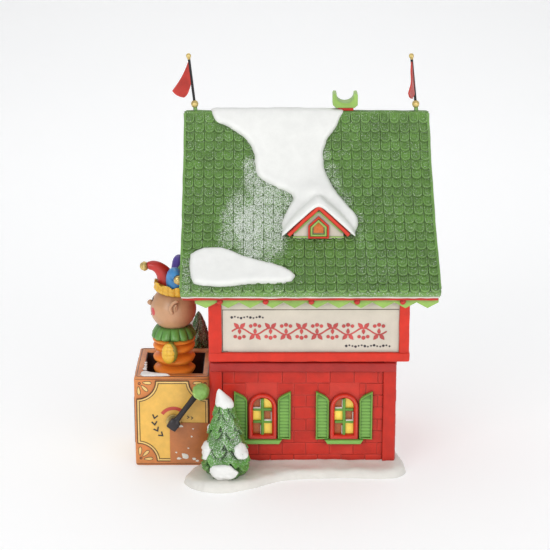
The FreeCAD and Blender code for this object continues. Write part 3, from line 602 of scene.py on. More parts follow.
def walls():
    """Bricks on all four walls and both gables, over the CAD walls, which show as the mortar."""
    def rear(u, v, out):
        return (u, WALL_REAR + out, v)

    clay = Clay()
    brickwork(clay, front, (WALL_LEFT + PILLAR, WALL_RIGHT - PILLAR), (1.5, 51.9),
              [(middle - 7.2, middle + 7.2, 14.2, 41.2) for middle in WINDOWS])
    lamp = (LAMP_HOLE[0] - 14.8, LAMP_HOLE[0] + 14.8, LAMP_HOLE[1] - 14.8, LAMP_HOLE[1] + 14.8)
    brickwork(clay, rear, (WALL_LEFT, WALL_RIGHT), (BRICK_FOOT, 92), [lamp])
    behind_box = (BOX_FRONT, BOX_REAR, 4, BOX_TOP - 0.2)
    for side, level, holes in ((-1, WALL_LEFT, [behind_box]), (1, WALL_RIGHT, [])):
        def flank(u, v, out, side=side, level=level):
            return (level + side * out, u, v)
        brickwork(clay, flank, (WALL_FRONT, WALL_REAR), (BRICK_FOOT, 165), holes, under_roof)
    clay.make("wall_bricks", "brick")

    collar = [(0, -0.2), (0, 0.9), (-0.5, 1.3), (-1.6, 1.3), (-2.0, 0.8), (-2.0, -0.2)]
    Clay().add(*moulding(oval(LAMP_HOLE, 14.3, 14.3, 48), collar, rear)).make("lamp_hole_ring", "brick")

    posts = Clay()
    for low in (WALL_LEFT, WALL_RIGHT - PILLAR):
        posts.add(*rounded_box((low - 0.2, WALL_FRONT - 1.5, 3.4), (low + PILLAR, WALL_FRONT, 59.6),
                               0.8, 3, 0.16, low))
    posts.make("corner_pillars", "sign_red", ["corner_posts"], paint="post_red")
    # The plank under the sign takes a darker red, a painted shade beneath the board.
    Clay().add(*rounded_box((WALL_LEFT, -32.9, 52.0), (WALL_RIGHT, WALL_FRONT, 57), 0.9, 3, 0.14, 4)
               ).make("plank_under_sign", "brick", ["wall_plank"], paint="plank_shaded_red")


# ---------------------------------------------------------------- sign
def sign():
    """The framed board over the shop front, with a painted vine and two rows of dots."""
    rails = Clay()
    for seed, left, face, right, low, high, radius in ((1, -36.9, -37.5, -30.4, 59.5, 92, 0.7),
                                                       (2, 55.5, -37.5, 60.5, 59.5, 92, 0.7),
                                                       (3, -36.9, -38.0, 60.8, 59.2, 63.9, 0.8)):
        rails.add(*rounded_box((left, face, low), (right, WALL_FRONT, high), radius, 3, 0.2, seed))
    rails.make("sign_rails", "sign_red", ["sign_frame"])
    board = Clay().add(*rounded_box((-31, BOARD_FACE, 63), (56, WALL_FRONT, 92), 0.3, 4, 0.08, 5))
    board.make("sign_board", "cream", ["sign_panel"])

    def on_board(u, v, out):
        return (u, BOARD_FACE - out, v)

    lines = Clay()
    lines.add(*ribbon([(-30.2, 85.4), (55.3, 85.7)], 0.35, 0.1, on_board))
    lines.add(*ribbon([(-30.0, 85.4), (-30.0, 64.3), (-27.5, 64.3)], 0.3, 0.1, on_board))
    lines.make("sign_lines", "cream", paint="line_dark")

    def leaf(clay, u, v, heading, long, wide):
        """A pointed leaf that starts at (u, v)."""
        def spot(share, side):
            along, across = share * long, side * math.sin(math.pi * share ** 0.8) * wide / 2
            return (u + math.cos(heading) * along - math.sin(heading) * across,
                    v + math.sin(heading) * along + math.cos(heading) * across)

        outline = [spot(step / 8, -1) for step in range(9)] + [spot(1 - step / 8, 1) for step in range(1, 8)]
        clay.add(*plate(outline, SUNK, 0.16, on_board, 0.06))

    def berry(clay, u, v, radius):
        clay.add(*plate(oval((u, v), radius, radius, 12), SUNK, 0.18, on_board, 0.08))

    vine = Clay()
    start, middle, swing, bend = -25.5, 74.5, 1.7, 7.5
    stem = [(start + reach, middle + swing * math.sin(reach * math.pi / bend))
            for reach in (step * 0.75 for step in range(101))]
    vine.add(*ribbon(stem, 0.85, 0.12, on_board))
    for number in range(10):
        u = start + bend * (number + 0.5)
        side = 1 if number % 2 == 0 else -1
        high = middle + swing * side
        leaf(vine, u - 0.4, high, side * 2.3, 3.5, 2.0)
        leaf(vine, u + 0.4, high, side * 0.85, 3.5, 2.0)
        leaf(vine, u, high - side * 0.4, -side * 1.57, 2.9, 1.7)
        berry(vine, u - 2.1, high - side * 4.4, 0.9)
        berry(vine, u + 2.1, high - side * 4.4, 0.9)
        berry(vine, u, high - side * 5.0, 1.0)
    vine.make("sign_vine", "cream", paint="sign_paint")

    dots = Clay()
    for start, high, count in ((-25.5, 81.6, 11), (30.0, 67.0, 15)):
        for number in range(count):
            rise = 0.35 * math.sin(number * 1.6)
            berry(dots, start + number * 1.5, high + rise, 0.42 if number % 3 else 0.62)
    dots.make("sign_dots", "cream", paint="ink")


# ---------------------------------------------------------------- windows
def arch_line(middle, half, floor, spring, steps=14):
    """An arched outline, anticlockwise from its lower left."""
    waist = (floor + spring) / 2
    line = [(middle - half, floor), (middle, floor), (middle + half, floor), (middle + half, waist)]
    line += [(middle + half * math.cos(turn), spring + half * math.sin(turn))
             for turn in (math.pi * step / steps for step in range(steps + 1))]
    return line + [(middle - half, waist)]


def shutter(clay, near, side):
    """A shutter leaf with a raised rim and louvres; its top sweeps up away from the window."""
    wide, rim = 6.5, 0.9
    far = near + side * wide
    top = [(near + side * wide * share, 36.9 + 4.6 * share ** 0.6)
           for share in (step / 8 for step in range(9))]
    line = [(far, 16.2), (near, 16.6), *top] if side < 0 else [(near, 16.6), (far, 16.2), *top[::-1]]
    clay.add(*plate(line, SUNK, 1.0, front, 0.2))
    rim_profile = [(0.0, 0.4), (0.05, 1.6), (0.35, 1.95), (0.75, 1.9), (0.95, 1.5), (0.95, 0.8)]
    clay.add(*moulding(line, rim_profile, front))
    louvre = ((-0.62, 0.9), (-0.5, 1.45), (-0.1, 1.5), (0.7, 1.0), (0.7, 0.9))
    for number in range(12):
        high = 18.1 + number * 1.72
        reach = 1.0 if high < 37.3 else max(1 - (high - 37.3) / 3.4, 0.3)
        ends = sorted((far - side * rim, far - side * (rim + 4.7 * reach)))
        clay.add(*loft([[front(u, high + rise, out) for rise, out in louvre] for u in ends]),
                 tint=dice.uniform(-0.15, 0.2))


def windows():
    """Arched windows: red frame, green bars, brown and yellow panes with their white ledges, shutters."""
    arch = [(0, -0.2), (0, 1.2), (0.3, 1.75), (0.9, 1.95), (1.5, 1.8), (2.1, 1.2), (2.35, 0.4), (2.35, -1.6)]
    rim = [(-0.2, 1.7), (0.0, 2.1), (0.25, 2.1), (0.45, 1.7)]
    bar_back, ledge_back, spring = -29.6, -29.4, 33.2
    for label, middle in zip(("left", "right"), WINDOWS):
        Clay().add(*moulding(arch_line(middle, 7.0, 16.2, spring), arch, front)
                   ).make(f"window_arch_{label}", "sign_red", [f"window_frame_{label}"])
        Clay().add(*moulding(arch_line(middle, 6.2, 17.0, spring), rim, front)
                   ).make(f"window_rim_{label}", "sign_red", paint="frame_rim")
        bars = Clay()
        bars.add(*rounded_box((middle - 0.75, -31.3, 17.6), (middle + 0.75, bar_back, 37.6),
                              0.5, 3, 0.08, middle))
        for high in (25.2, 31.7):
            bars.add(*rounded_box((middle - 4.8, -31.2, high - 0.7), (middle + 4.8, bar_back, high + 0.7),
                                  0.5, 2, 0.08, high))
        bars.make(f"window_cross_{label}", "shutter_green", [f"window_bars_{label}"])
        ledges = Clay()
        for low, side, foot, top, inset in ((31.7, -1, 0.5, 1.15, 0.9), (25.2, 1, 0.5, 1.15, 4.4),
                                            (17.9, -1, -0.3, 0.5, 0.9)):
            start, end = sorted((middle + side * 0.8, middle + side * 4.7))
            ledges.add(*rounded_box((start, -31.0, low + foot), (end, ledge_back, low + top),
                                    0.3, 2, 0.06, low))
            post = middle + side * inset
            ledges.add(*rounded_box((post - 0.22, -30.6, low + 0.4), (post + 0.22, ledge_back, low + 5.2),
                                    0.15, 2, 0.04))
        ledges.make(f"window_ledges_{label}", "cream", paint="eave_white")
        panes = {"dark": Clay(), "light": Clay()}
        for row, (low, high) in enumerate(((17.6, 25.0), (25.4, 31.5), (31.9, 38.2))):
            for column, side in enumerate((-1, 1)):
                kind = "dark" if (row + column) % 2 == 0 else "light"
                start, end = sorted((middle + side * 0.2, middle + side * 4.9))
                panes[kind].add(*rounded_box((start, -29.5, low), (end, -28.4, high),
                                             0.5, 1.0, 0.14, low + start))
        for kind, slot in (("dark", "pane_brown"), ("light", "pane_yellow")):
            panes[kind].make(f"window_glass_{kind}_{label}", slot, [f"window_panes_{kind}_{label}"])
        leaves = Clay()
        for side in (-1, 1):
            shutter(leaves, middle + side * 7.5, side)
        leaves.make(f"shutter_leaves_{label}", "shutter_green", [f"shutters_{label}"], sharp=50)
    sills = Clay()
    outer = ((9.6, 16.4), (-9.6, 16.4), (-8.2, 14.1), (8.2, 14.1))
    inner = ((9.3, 16.1), (-9.3, 16.1), (-8.1, 14.4), (8.1, 14.4))
    for middle in WINDOWS:
        sills.add(*loft([[(middle - across, level, high) for across, high in corners]
                         for level, corners in ((WALL_FRONT, outer), (-33.0, outer), (-33.4, inner))]))
    sills.make("sill_ledges", "shutter_green", ["window_sills"])


# ---------------------------------------------------------------- roof
def slope_at(height):
    """How far up the front slope a height lies, along the arc from the eave."""
    return ARC_RADIUS * (EAVE_TURN - math.asin((ARC_HIGH - height) / ARC_RADIUS))


def over_roof(u, along, out):
    """A point over the roof: along runs from the front eave over the ridge to the rear eave."""
    if along > ROOF_LONG / 2:
        point = over_roof(u, ROOF_LONG - along, out)
        return Vector((point[0], 2 * RIDGE - point[1], point[2]))
    turn = EAVE_TURN - min(along, ARC_LONG) / ARC_RADIUS
    back, up = math.cos(turn), math.sin(turn)
    place = Vector((0, RIDGE - ARC_AHEAD + ARC_RADIUS * back, ARC_HIGH - ARC_RADIUS * up))
    if along > ARC_LONG:
        place = place + Vector((0, along - ARC_LONG, 0))
    rounding = 4
    blend = clamped((along - ARC_LONG + rounding) / (RIDGE_FLAT / 2 + rounding))
    normal = Vector((0, -back, up)).lerp(Vector((0, 0, 1)), blend).normalized()
    return Vector((u, 0, 0)) + place + normal * out


def roof_span(along):
    """The roof's left and right edges, a little nearer each other at the ridge."""
    share = min(along, ROOF_LONG - along) / ARC_LONG
    return -49.9 + 0.9 * share, 74.5 - 3.7 * share


# patches of grit on the front slope: across, height, radius, strength
FROST_SPOTS = (
    (-16.4, 148.7, 5, 0.8), (-14.7, 142, 7, 0.8), (-4, 140, 7, 0.8), (-9.5, 134, 10, 0.9),
    (-21.5, 131, 8, 0.75), (0, 134.5, 6, 0.8), (-17, 124, 11, 1.0), (-6, 125, 10, 0.9), (-27, 126, 5, 0.7),
    (-15, 116, 9, 0.9), (-5, 117, 7, 0.8), (-26.5, 119, 6, 0.7), (-8, 112, 5, 0.6), (20.5, 154, 3, 0.55),
    (22.5, 147, 4, 0.6), (25, 141, 4, 0.55), (30, 134, 4, 0.5), (35.5, 126, 4, 0.4), (36, 119, 4, 0.35),
    (-47, 107, 4, 0.5), (-47, 101, 4, 0.5), (-38, 98, 5, 0.3), (-22, 98, 5, 0.3), (-4, 99, 5, 0.3),
    (44, 108, 12, 0.2), (52, 125, 14, 0.15))


def frost_at(u, height):
    """How much grit lies on the front slope at a place, from 0 to 1."""
    stray = 0.07
    best = stray
    for spot_u, spot_z, reach, strength in FROST_SPOTS:
        gap = math.hypot(u - spot_u, height - spot_z) / reach
        best = max(best, clamped((1.25 - gap) * 1.5) * strength * 0.62)
    return best + stray * noise.noise(Vector((u, height, 3)) / 3)


def shingles():
    """Straight columns of round-footed shingles, each with a raised rim and a smaller U inside it."""
    columns, rows = 25, 20
    half, centre = 0.485, 0.62
    foot = [(-math.cos(turn) * half, 0.42 - 0.44 * math.sin(turn) ** 0.8)
            for turn in (math.pi * step / 12 for step in range(13))]
    outline = foot + [(half, 1.1), (0.0, 1.12), (-half, 1.1)]
    profile = ((0.0, -0.2), (0.0, 0.75), (0.22, 1.05), (0.62, 1.0), (0.95, 0.62), (1.2, 0.66), (1.45, 0.95),
               (1.9, 0.85))
    deep = (ARC_LONG + 1.5) / rows
    for label, rear in (("front", False), ("rear", True)):
        clay = Clay()
        for row in range(rows):
            low = -1.5 + row * (ARC_LONG + 1.1) / rows
            left, right = roof_span(low)
            wide = (right - left - 0.6) / columns
            for column in range(columns):
                middle = left + 0.3 + (column + 0.5) * wide
                shift = [dice.uniform(-0.12, 0.12) for _ in range(3)]
                rings, frosts = [], []
                for inset, out in profile:
                    squeeze = 1 - inset / (wide * 0.5)
                    ring = []
                    for across, up in outline:
                        u = middle + across * wide * squeeze + shift[0]
                        high = centre + (up - centre) * squeeze
                        along = low + high * deep + shift[1]
                        lift = out * (1.15 - 0.75 * clamped(high, 0, 1.1)) + shift[2] * 0.5
                        along = ROOF_LONG - along if rear else along
                        point = over_roof(u, along, lift)
                        ring.append(wobble(point, 3.0, 0.12))
                        frosts.append(0.12 if rear else frost_at(u, point[2]) * (0.75 + 0.35 * min(out, 1)))
                    rings.append(ring)
                clay.add(*loft(rings), tint=dice.uniform(-0.25, 0.25), frost=frosts)
        clay.make(f"shingles_{label}", "shingle_green", sharp=60)


def roof_edges():
    """The hollow roof under the shingles, with its rolled eaves, ridge and verges."""
    body = Clay()
    for rear in (False, True):
        rings = []
        for step in range(25):
            along = -1.0 + (ARC_LONG + 1) * step / 24
            left, right = roof_span(along)
            along = ROOF_LONG - along if rear else along
            rings.append([over_roof(edge, along, out)
                          for edge, out in ((left, 0.1), (left, -3.6), (right, -3.6), (right, 0.1))])
        body.add(*loft(rings))
        eave = []
        for step in range(42):
            across, back, high = over_roof(-49.6 + 123.8 * step / 41, -1.1, -1.5)
            eave.append((*wobble((across, 2 * RIDGE - back if rear else back, high), 3, 0.35), 1.65))
        body.add(*tube(eave, 10, 2), tint=0.1, frost=0.2)
    body.add(*rounded_box((-49.0, RIDGE - 1.9, 170.6), (70.8, RIDGE + 1.9, 174.0), 0.9, 3, 0.3, 7), frost=0.1)
    body.make("roof_body", "shingle_green", ["roof_shell"])
    verge = Clay()
    for edge in (0, 1):
        for rear in (False, True):
            spots = []
            for step in range(24):
                along = 0.6 + (ARC_LONG - 1) * step / 23
                level = roof_span(along)[edge] + (0.35 if edge == 0 else -0.35)
                point = over_roof(level, ROOF_LONG - along if rear else along, 0.2)
                spots.append((*wobble(point, 4, 0.3), 0.75))
            verge.add(*tube(spots, 8, 2))
    verge.make("verge_roll", "shingle_green")


def eave_trim():
    """Under both eaves: a red board, a line of snow on it, and green teeth with red studs."""
    boards, white, trims, studs = Clay(), Clay(), Clay(), Clay()
    start, tooth = -43.0, 10.62
    teeth = [(73.8, 93.4), (start, 93.4), (start, 90.2)]
    for number in range(11):
        teeth += [(start + (number + 0.5) * tooth, 87.8), (start + (number + 1) * tooth, 90.7)]
    dome = ((1.4, -3.3), (1.45, -2.7), (1.2, -2.1), (0.7, -1.8), (0.1, -1.7))
    for rear in (False, True):
        def place(u, v, out, rear=rear):
            level = -44.5 - out
            return (u, 2 * RIDGE - level if rear else level, v)

        ends = (place(-48.9, 92.5, -3.3), place(73.5, 95.2, -0.4))
        low, high = ([pick(pair) for pair in zip(*ends)] for pick in (min, max))
        boards.add(*rounded_box(low, high, 0.6, 3, 0.14, 2))
        spots = [(*wobble(place(-49.3 + 123.2 * step / 40, 94.4, -0.2), 3, 0.25), 0.6) for step in range(41)]
        white.add(*tube(spots, 8, 2))
        trims.add(*plate(teeth, -5.0, -3.1, place, 0.3))
        for number in range(5):
            middle = (start + 12 + number * 21.9, 91.2)
            studs.add(*loft([[place(*spot, out) for spot in oval(middle, reach, reach, 20)]
                             for reach, out in dome]))
    boards.make("eave_boards", "fascia_red", ["fascia_boards"])
    white.make("eave_snow_line", "snow", paint="eave_white")
    trims.make("toothed_trim", "trim_green", ["scallop_trims"])
    studs.make("stud_domes", "fascia_red", ["trim_studs"])


def dormer_cap():
    """Rings of a thick cap of snow on the dormer's two slopes, from its face back into the drift."""
    cap = []
    half, steps, columns = 18.0, 14, 32
    for step in range(steps + 1):
        share = step / steps
        depth = -28.4 + 25.4 * share
        grow = math.sqrt(max(1 - (1 - min(share / 0.2, 1)) ** 2, 0.02))
        upper, lower = [], []
        for number in range(columns + 1):
            u = -half + 2 * half * number / columns
            slope = 136.6 - 3.4 * share - 0.95 * (math.sqrt(u * u + 3) - 1.7)
            blunt = (1 - (abs(u) / half) ** 8) ** 0.5
            lift = 3.8 * blunt * grow + 0.35 * noise.noise(Vector((u, depth, 2)) / 5) * blunt
            upper.append((DORMER + u, depth, slope - 1.0 + lift))
            lower.append((DORMER + u, depth, slope - 1.5 - 0.5 * blunt))
        cap.append(upper + lower[::-1])
    return cap


def roof_snow():
    """The drift over the ridge with the dormer's cap, in one soft skin, and the patch on the eave."""
    front_line = [(-35.6, 173.2), (-33.2, 168.9), (-27.2, 166.4), (-18.9, 160.7), (-14.9, 154.2),
                  (-13.2, 144.6), (-3.6, 139.1), (0.8, 137.5), (4.3, 134.8), (2.5, 131.4), (-0.1, 126.9),
                  (-1.4, 123.1), (1.2, 119.8), (8, 122), (16.4, 124), (26, 122), (32.3, 119.5), (35.8, 123.1),
                  (34.6, 127.6), (27.8, 134.5), (22.6, 141.4), (19.6, 147.8), (19.2, 154.2), (21.0, 160.7),
                  (25.4, 166.4), (28.5, 172.6)]
    rear_line = [(33, 168), (27, 160), (20, 154), (12, 151), (4, 148), (-6, 153), (-14, 158), (-24, 156),
                 (-33, 163), (-36.5, 170)]
    outline = [(u, slope_at(z)) for u, z in front_line] + [(u, ROOF_LONG - slope_at(z)) for u, z in rear_line]

    def swell(u, along):
        crest = -math.exp(-((along - ROOF_LONG / 2) / 7) ** 2)
        bank = 3.2 * math.exp(-((u - DORMER) / 8) ** 2 - ((along - slope_at(137)) / 6.5) ** 2)
        return crest + bank + 0.5 * noise.noise(Vector((u, along, 4)) / 14)

    def laid(u, along, out):
        return over_roof(u, along, out + 0.9 if out >= 0 else out)

    snow = Clay().add(*drift_over(outline, 2.2, 2.6, laid, 1.1, 1.0, -0.6, swell)).add(*loft(dormer_cap()))
    drift = snow.make("roof_drift", "snow", ["roof_snow"])
    skin = drift.modifiers.new("skin", "REMESH")
    skin.mode = "VOXEL"
    skin.voxel_size = 0.6 * MM
    skin.use_smooth_shade = True
    soften = drift.modifiers.new("soften", "SMOOTH")
    soften.factor = 0.5
    soften.iterations = 10
    patch = [(-45.6, 109.5), (-44, 111.9), (-38.9, 113.7), (-29.4, 113.7), (-19, 110.5), (-3.6, 107.1),
             (4.1, 104), (4.1, 101.6), (-0.2, 100.3), (-16.3, 100), (-29.1, 99), (-41, 99.6), (-44.5, 102)]
    Clay().add(*drift_over([(u, slope_at(z)) for u, z in patch], 2.1, 2.6, laid, 0.9, 5.0, -0.5)
               ).make("eave_drift", "snow", ["eave_snow"])


def dormer():
    """The little gable: cream front, red barge boards and a peaked window."""
    def face(u, v, out):
        return (DORMER + u, DORMER_FACE - out, v)

    gable = [(-12, 118.0), (12, 118.0), (12, 122.8), (0, 133.6), (-12, 122.8)]
    Clay().add(*loft([[(DORMER + u, depth, v) for u, v in gable] for depth in (DORMER_FACE, -22, -14, -6)])
               ).make("dormer_front", "cream", ["dormer_wall"])
    boards = Clay()
    half, foot, tall = 14.6, 120.3, 14.0
    section = ((-0.95, -1.2), (-1.05, 0.8), (-0.7, 1.4), (0.6, 1.4), (1.0, 0.8), (1.0, -1.2))
    for side in (-1, 1):
        up = Vector((side * tall, 0, half)).normalized()
        rings = []
        for share in (step / 8 for step in range(9)):
            spot = Vector((DORMER + side * half * (1 - share), DORMER_FACE - 0.9, foot + tall * share))
            rings.append([wobble(spot + up * across + Vector((0, -out, 0)), 4, 0.2, side)
                          for across, out in section])
        boards.add(*loft(rings))
    boards.make("dormer_barge", "sign_red")
    inner = Clay()
    for side in (-1, 1):
        inner.add(*ribbon([(side * 11.5, 121.0), (side * 0.2, 131.6)], 0.9, 0.7, face))
        inner.add(*ribbon([(side * 12.4, 118.9), (side * 4.6, 118.9)], 0.7, 0.5, face))
    inner.make("dormer_moulding", "trim_green", ["dormer_roof"])
    peak = [(-5.0, 118.4), (5.0, 118.4), (5.0, 124.6), (0, 129.4), (-5.0, 124.6)]
    Clay().add(*moulding(peak, [(0, -0.2), (0, 1.2), (0.3, 1.5), (0.75, 1.4), (1.0, 0.8), (1.0, -0.2)], face)
               ).make("dormer_window_red", "sign_red", ["dormer_window_frame"])
    inside = [(-3.9, 119.4), (3.9, 119.4), (3.9, 124.1), (0, 127.8), (-3.9, 124.1)]
    Clay().add(*moulding(inside, [(0, -0.2), (0, 1.0), (0.3, 1.2), (0.9, 1.1), (1.1, 0.2), (1.1, -0.2)], face)
               ).make("dormer_window_green", "trim_green")
    Clay().add(*plate(arch_line(0, 2.5, 120.9, 123.9), SUNK, 0.7, face, 0.3)
               ).make("dormer_amber", "pane_amber", ["dormer_window_pane"])


def chimney():
    """A short red stack and a green cap with a deep round scoop between two horns."""
    behind = RIDGE + 2.4
    Clay().add(*rounded_box((26.3, behind - 3.4, 168), (34.0, behind + 3.4, 176.2), 0.5, 2, 0.12, 3)
               ).make("stack", "sign_red", ["chimney_stack"])
    middle = 29.9
    scoop = [(middle + 4.3 * math.cos(turn), 182.5 - 4.5 * math.sin(turn) ** 0.7)
             for turn in (math.pi * step / 12 for step in range(13))]
    foot = 4.6, 175.6
    horn = [(6.1, 177.0), (6.2, 181.8), (5.7, 182.7)]
    line = ([(middle - foot[0], foot[1]), (middle + foot[0], foot[1])]
            + [(middle + across, high) for across, high in horn] + scoop
            + [(middle - across, high) for across, high in horn[::-1]])

    def place(u, v, out):
        return wobble((u, behind - out, v), 5, 0.14)

    Clay().add(*plate(line, -4.6, 4.6, place, 0.45)).make("stack_cap", "trim_green", ["chimney_cap"])


# ---------------------------------------------------------------- flags
def flag_cloth(stand, swing):
    """Both faces and the rim of a hanging flag with one soft fold."""
    across, down = 16, 18
    points = []
    for face in (0.36, -0.36):
        for s, t in ((i / across, j / down) for i in range(across + 1) for j in range(down + 1)):
            near = Vector((-0.45, 0, 21.4 - 11.2 * t))
            far = Vector((-10.2 + 5.4 * t, 0, 7.6 - 4.0 * t))
            sag = Vector((0.9 * math.sin(math.pi * s) * (1 - t), 0, -1.3 * math.sin(math.pi * s) * t))
            bow = Vector((-0.7, 0, -0.5)) * math.sin(math.pi * t) * s
            spot = near.lerp(far, s) + sag + bow
            fold = 0.55 * math.sin(7.5 * s + 1.2 * t) * s
            points.append(stand((spot.x, fold + face, spot.z), swing))
    count = len(points) // 2
    one = grid(across + 1, down + 1)
    rim = ([(0, j) for j in range(down)] + [(i, down) for i in range(across)]
           + [(across, j) for j in range(down, 0, -1)] + [(i, 0) for i in range(across, 0, -1)])
    ring = [i * (down + 1) + j for i, j in rim]
    faces = one + [[index + count for index in quad[::-1]] for quad in one]
    faces += [[a, b, b + count, a + count] for a, b in zip(ring, ring[1:] + ring[:1])]
    return points, faces


def flags():
    """Two flags, each turning about its own leaning pole."""
    lean = Matrix.Rotation(math.radians(-6.4), 4, "Y")
    socket = ((0.1, -1.8), (0.9, -1.75), (1.5, -1.2), (1.85, -0.2), (1.8, 0.5), (1.35, 1.3), (0.8, 1.7),
              (0.7, 1.8))
    stem = ((0.1, -6), (1.0, -6), (1.0, -1.6), (0.1, -1.5))
    collar = ((0.7, -4.4), (2.1, -4.4), (2.3, -4.0), (1.9, -3.5), (0.9, -3.3))
    finial = ((0.66, 22.2), (0.85, 22.5), (0.75, 22.8), (1.1, 23.2), (1.28, 23.9), (1.1, 24.6), (0.6, 25.1),
              (0.1, 25.2))
    for label, foot, swing in (("left", -44.1, 0.0), ("right", 64.6, math.radians(73))):
        def stand(point, spin=0.0, base=Vector((foot, RIDGE, 177.3))):
            """A place given about the upright pole, turned by a spin and then leant."""
            return base + lean @ (Matrix.Rotation(spin, 4, "Z") @ Vector(point))

        def lathed(*profiles):
            clay = Clay()
            for profile in profiles:
                points, faces = turned(profile, (0, 0, 0), 24)
                clay.add([stand(point) for point in points], faces)
            return clay

        body = f"flag_{label}"
        lathed(socket).make(f"flag_foot_{label}", "brass", [f"flag_socket_{label}"])
        lathed(stem, collar).make(f"flag_stem_{label}", "shingle_green")
        Clay().add(*tube([(*stand((0, 0, high)), 0.66) for high in (-5.6, 4, 14, 23.9)], 16, 4)
                   ).make(f"flag_rod_{label}", "pole_black", [f"flag_pole_{label}"], body)
        lathed(finial).make(f"flag_ball_{label}", "brass", body=body)
        Clay().add(*flag_cloth(stand, swing)
                   ).make(f"flag_banner_{label}", "flag_red", [f"flag_cloth_{label}"], body)


# ---------------------------------------------------------------- toy box
def rounded_rectangle(low_x, high_x, low_y, high_y, radius, steps=4):
    """An anticlockwise outline with rounded corners."""
    line = []
    for x, y, start in ((high_x - radius, high_y - radius, 0), (low_x + radius, high_y - radius, 1),
                        (low_x + radius, low_y + radius, 2), (high_x - radius, low_y + radius, 3)):
        for step in range(steps + 1):
            turn = (start + step / steps) * math.pi / 2
            line.append((x + radius * math.cos(turn), y + radius * math.sin(turn)))
    fine = []
    for start, end in zip(line, line[1:] + line[:1]):
        parts = max(int(math.dist(start, end) / 4), 1)
        fine += [tuple(a + (b - a) * part / parts for a, b in zip(start, end)) for part in range(parts)]
    return fine


def scooped(low_x, high_x, low_y, high_y, radius, steps=10):
    """An anticlockwise rectangle whose corners are scooped out by a quarter circle."""
    line = []
    for x, y, start in ((low_x, low_y, 1), (high_x, low_y, 2), (high_x, high_y, 3), (low_x, high_y, 0)):
        for step in range(steps + 1):
            turn = (start - step / steps) * math.pi / 2
            line.append((x + radius * math.cos(turn), y + radius * math.sin(turn)))
    return line


def side_panel(clays, low, high, floor, top, place):
    """The painted frame of one side: yellow field, cream stripe between two dark lines, corner strokes."""
    radius = 9.6
    field = scooped(low, high, floor, top, radius)
    clays["yellow"].add(*plate(field, -0.2, 0.45, place, 0.2))
    for inset, width, paint in ((0.1, 0.4, "line"), (0.75, 0.75, "cream"), (1.35, 0.35, "line")):
        clays[paint].add(*ribbon(offset(field, inset), width, 0.56, place, True))
    for x, y, sx, sy in ((low, floor, 1, 1), (high, floor, -1, 1), (high, top, -1, -1), (low, top, 1, -1)):
        dot = oval((x + sx * 1.5, y + sy * 1.5), 0.55, 0.55, 10)
        clays["line"].add(*ribbon(dot, 0.3, 0.16, place, True))
        for angle in (4, 45, 86):
            a = math.radians(angle)
            loop = []
            for turn in around(16):
                reach = 4.5 - 2.2 * math.cos(turn)
                width = 0.62 * math.sin(turn) * (1.2 - 0.4 * math.cos(turn))
                loop.append((x + sx * (0.8 + math.cos(a) * reach - math.sin(a) * width),
                             y + sy * (0.8 + math.sin(a) * reach + math.cos(a) * width)))
            clays["cream"].add(*plate(loop, SUNK, 0.12, place, 0.03))
            clays["line"].add(*ribbon(loop, 0.24, 0.16, place, True))


def inset_rectangle(limits, inset, radius):
    low_x, high_x, low_y, high_y = limits
    return rounded_rectangle(low_x + inset, high_x - inset, low_y + inset, high_y - inset, radius)


def ragged(u, v, size, count, wide, tall):
    """The uneven outline of a chip or scrap; wide and tall are ranges of its radius."""
    return [(u + size * dice.uniform(*wide) * math.cos(turn), v + size * dice.uniform(*tall) * math.sin(turn))
            for turn in around(count)]


def box_front(u, v, out):
    """A place over the front of the toy box."""
    return (u, BOX_FRONT - out, v)


def box_rim(u, v, out):
    """A place over the top of the toy box."""
    return (u, v, BOX_TOP + out)


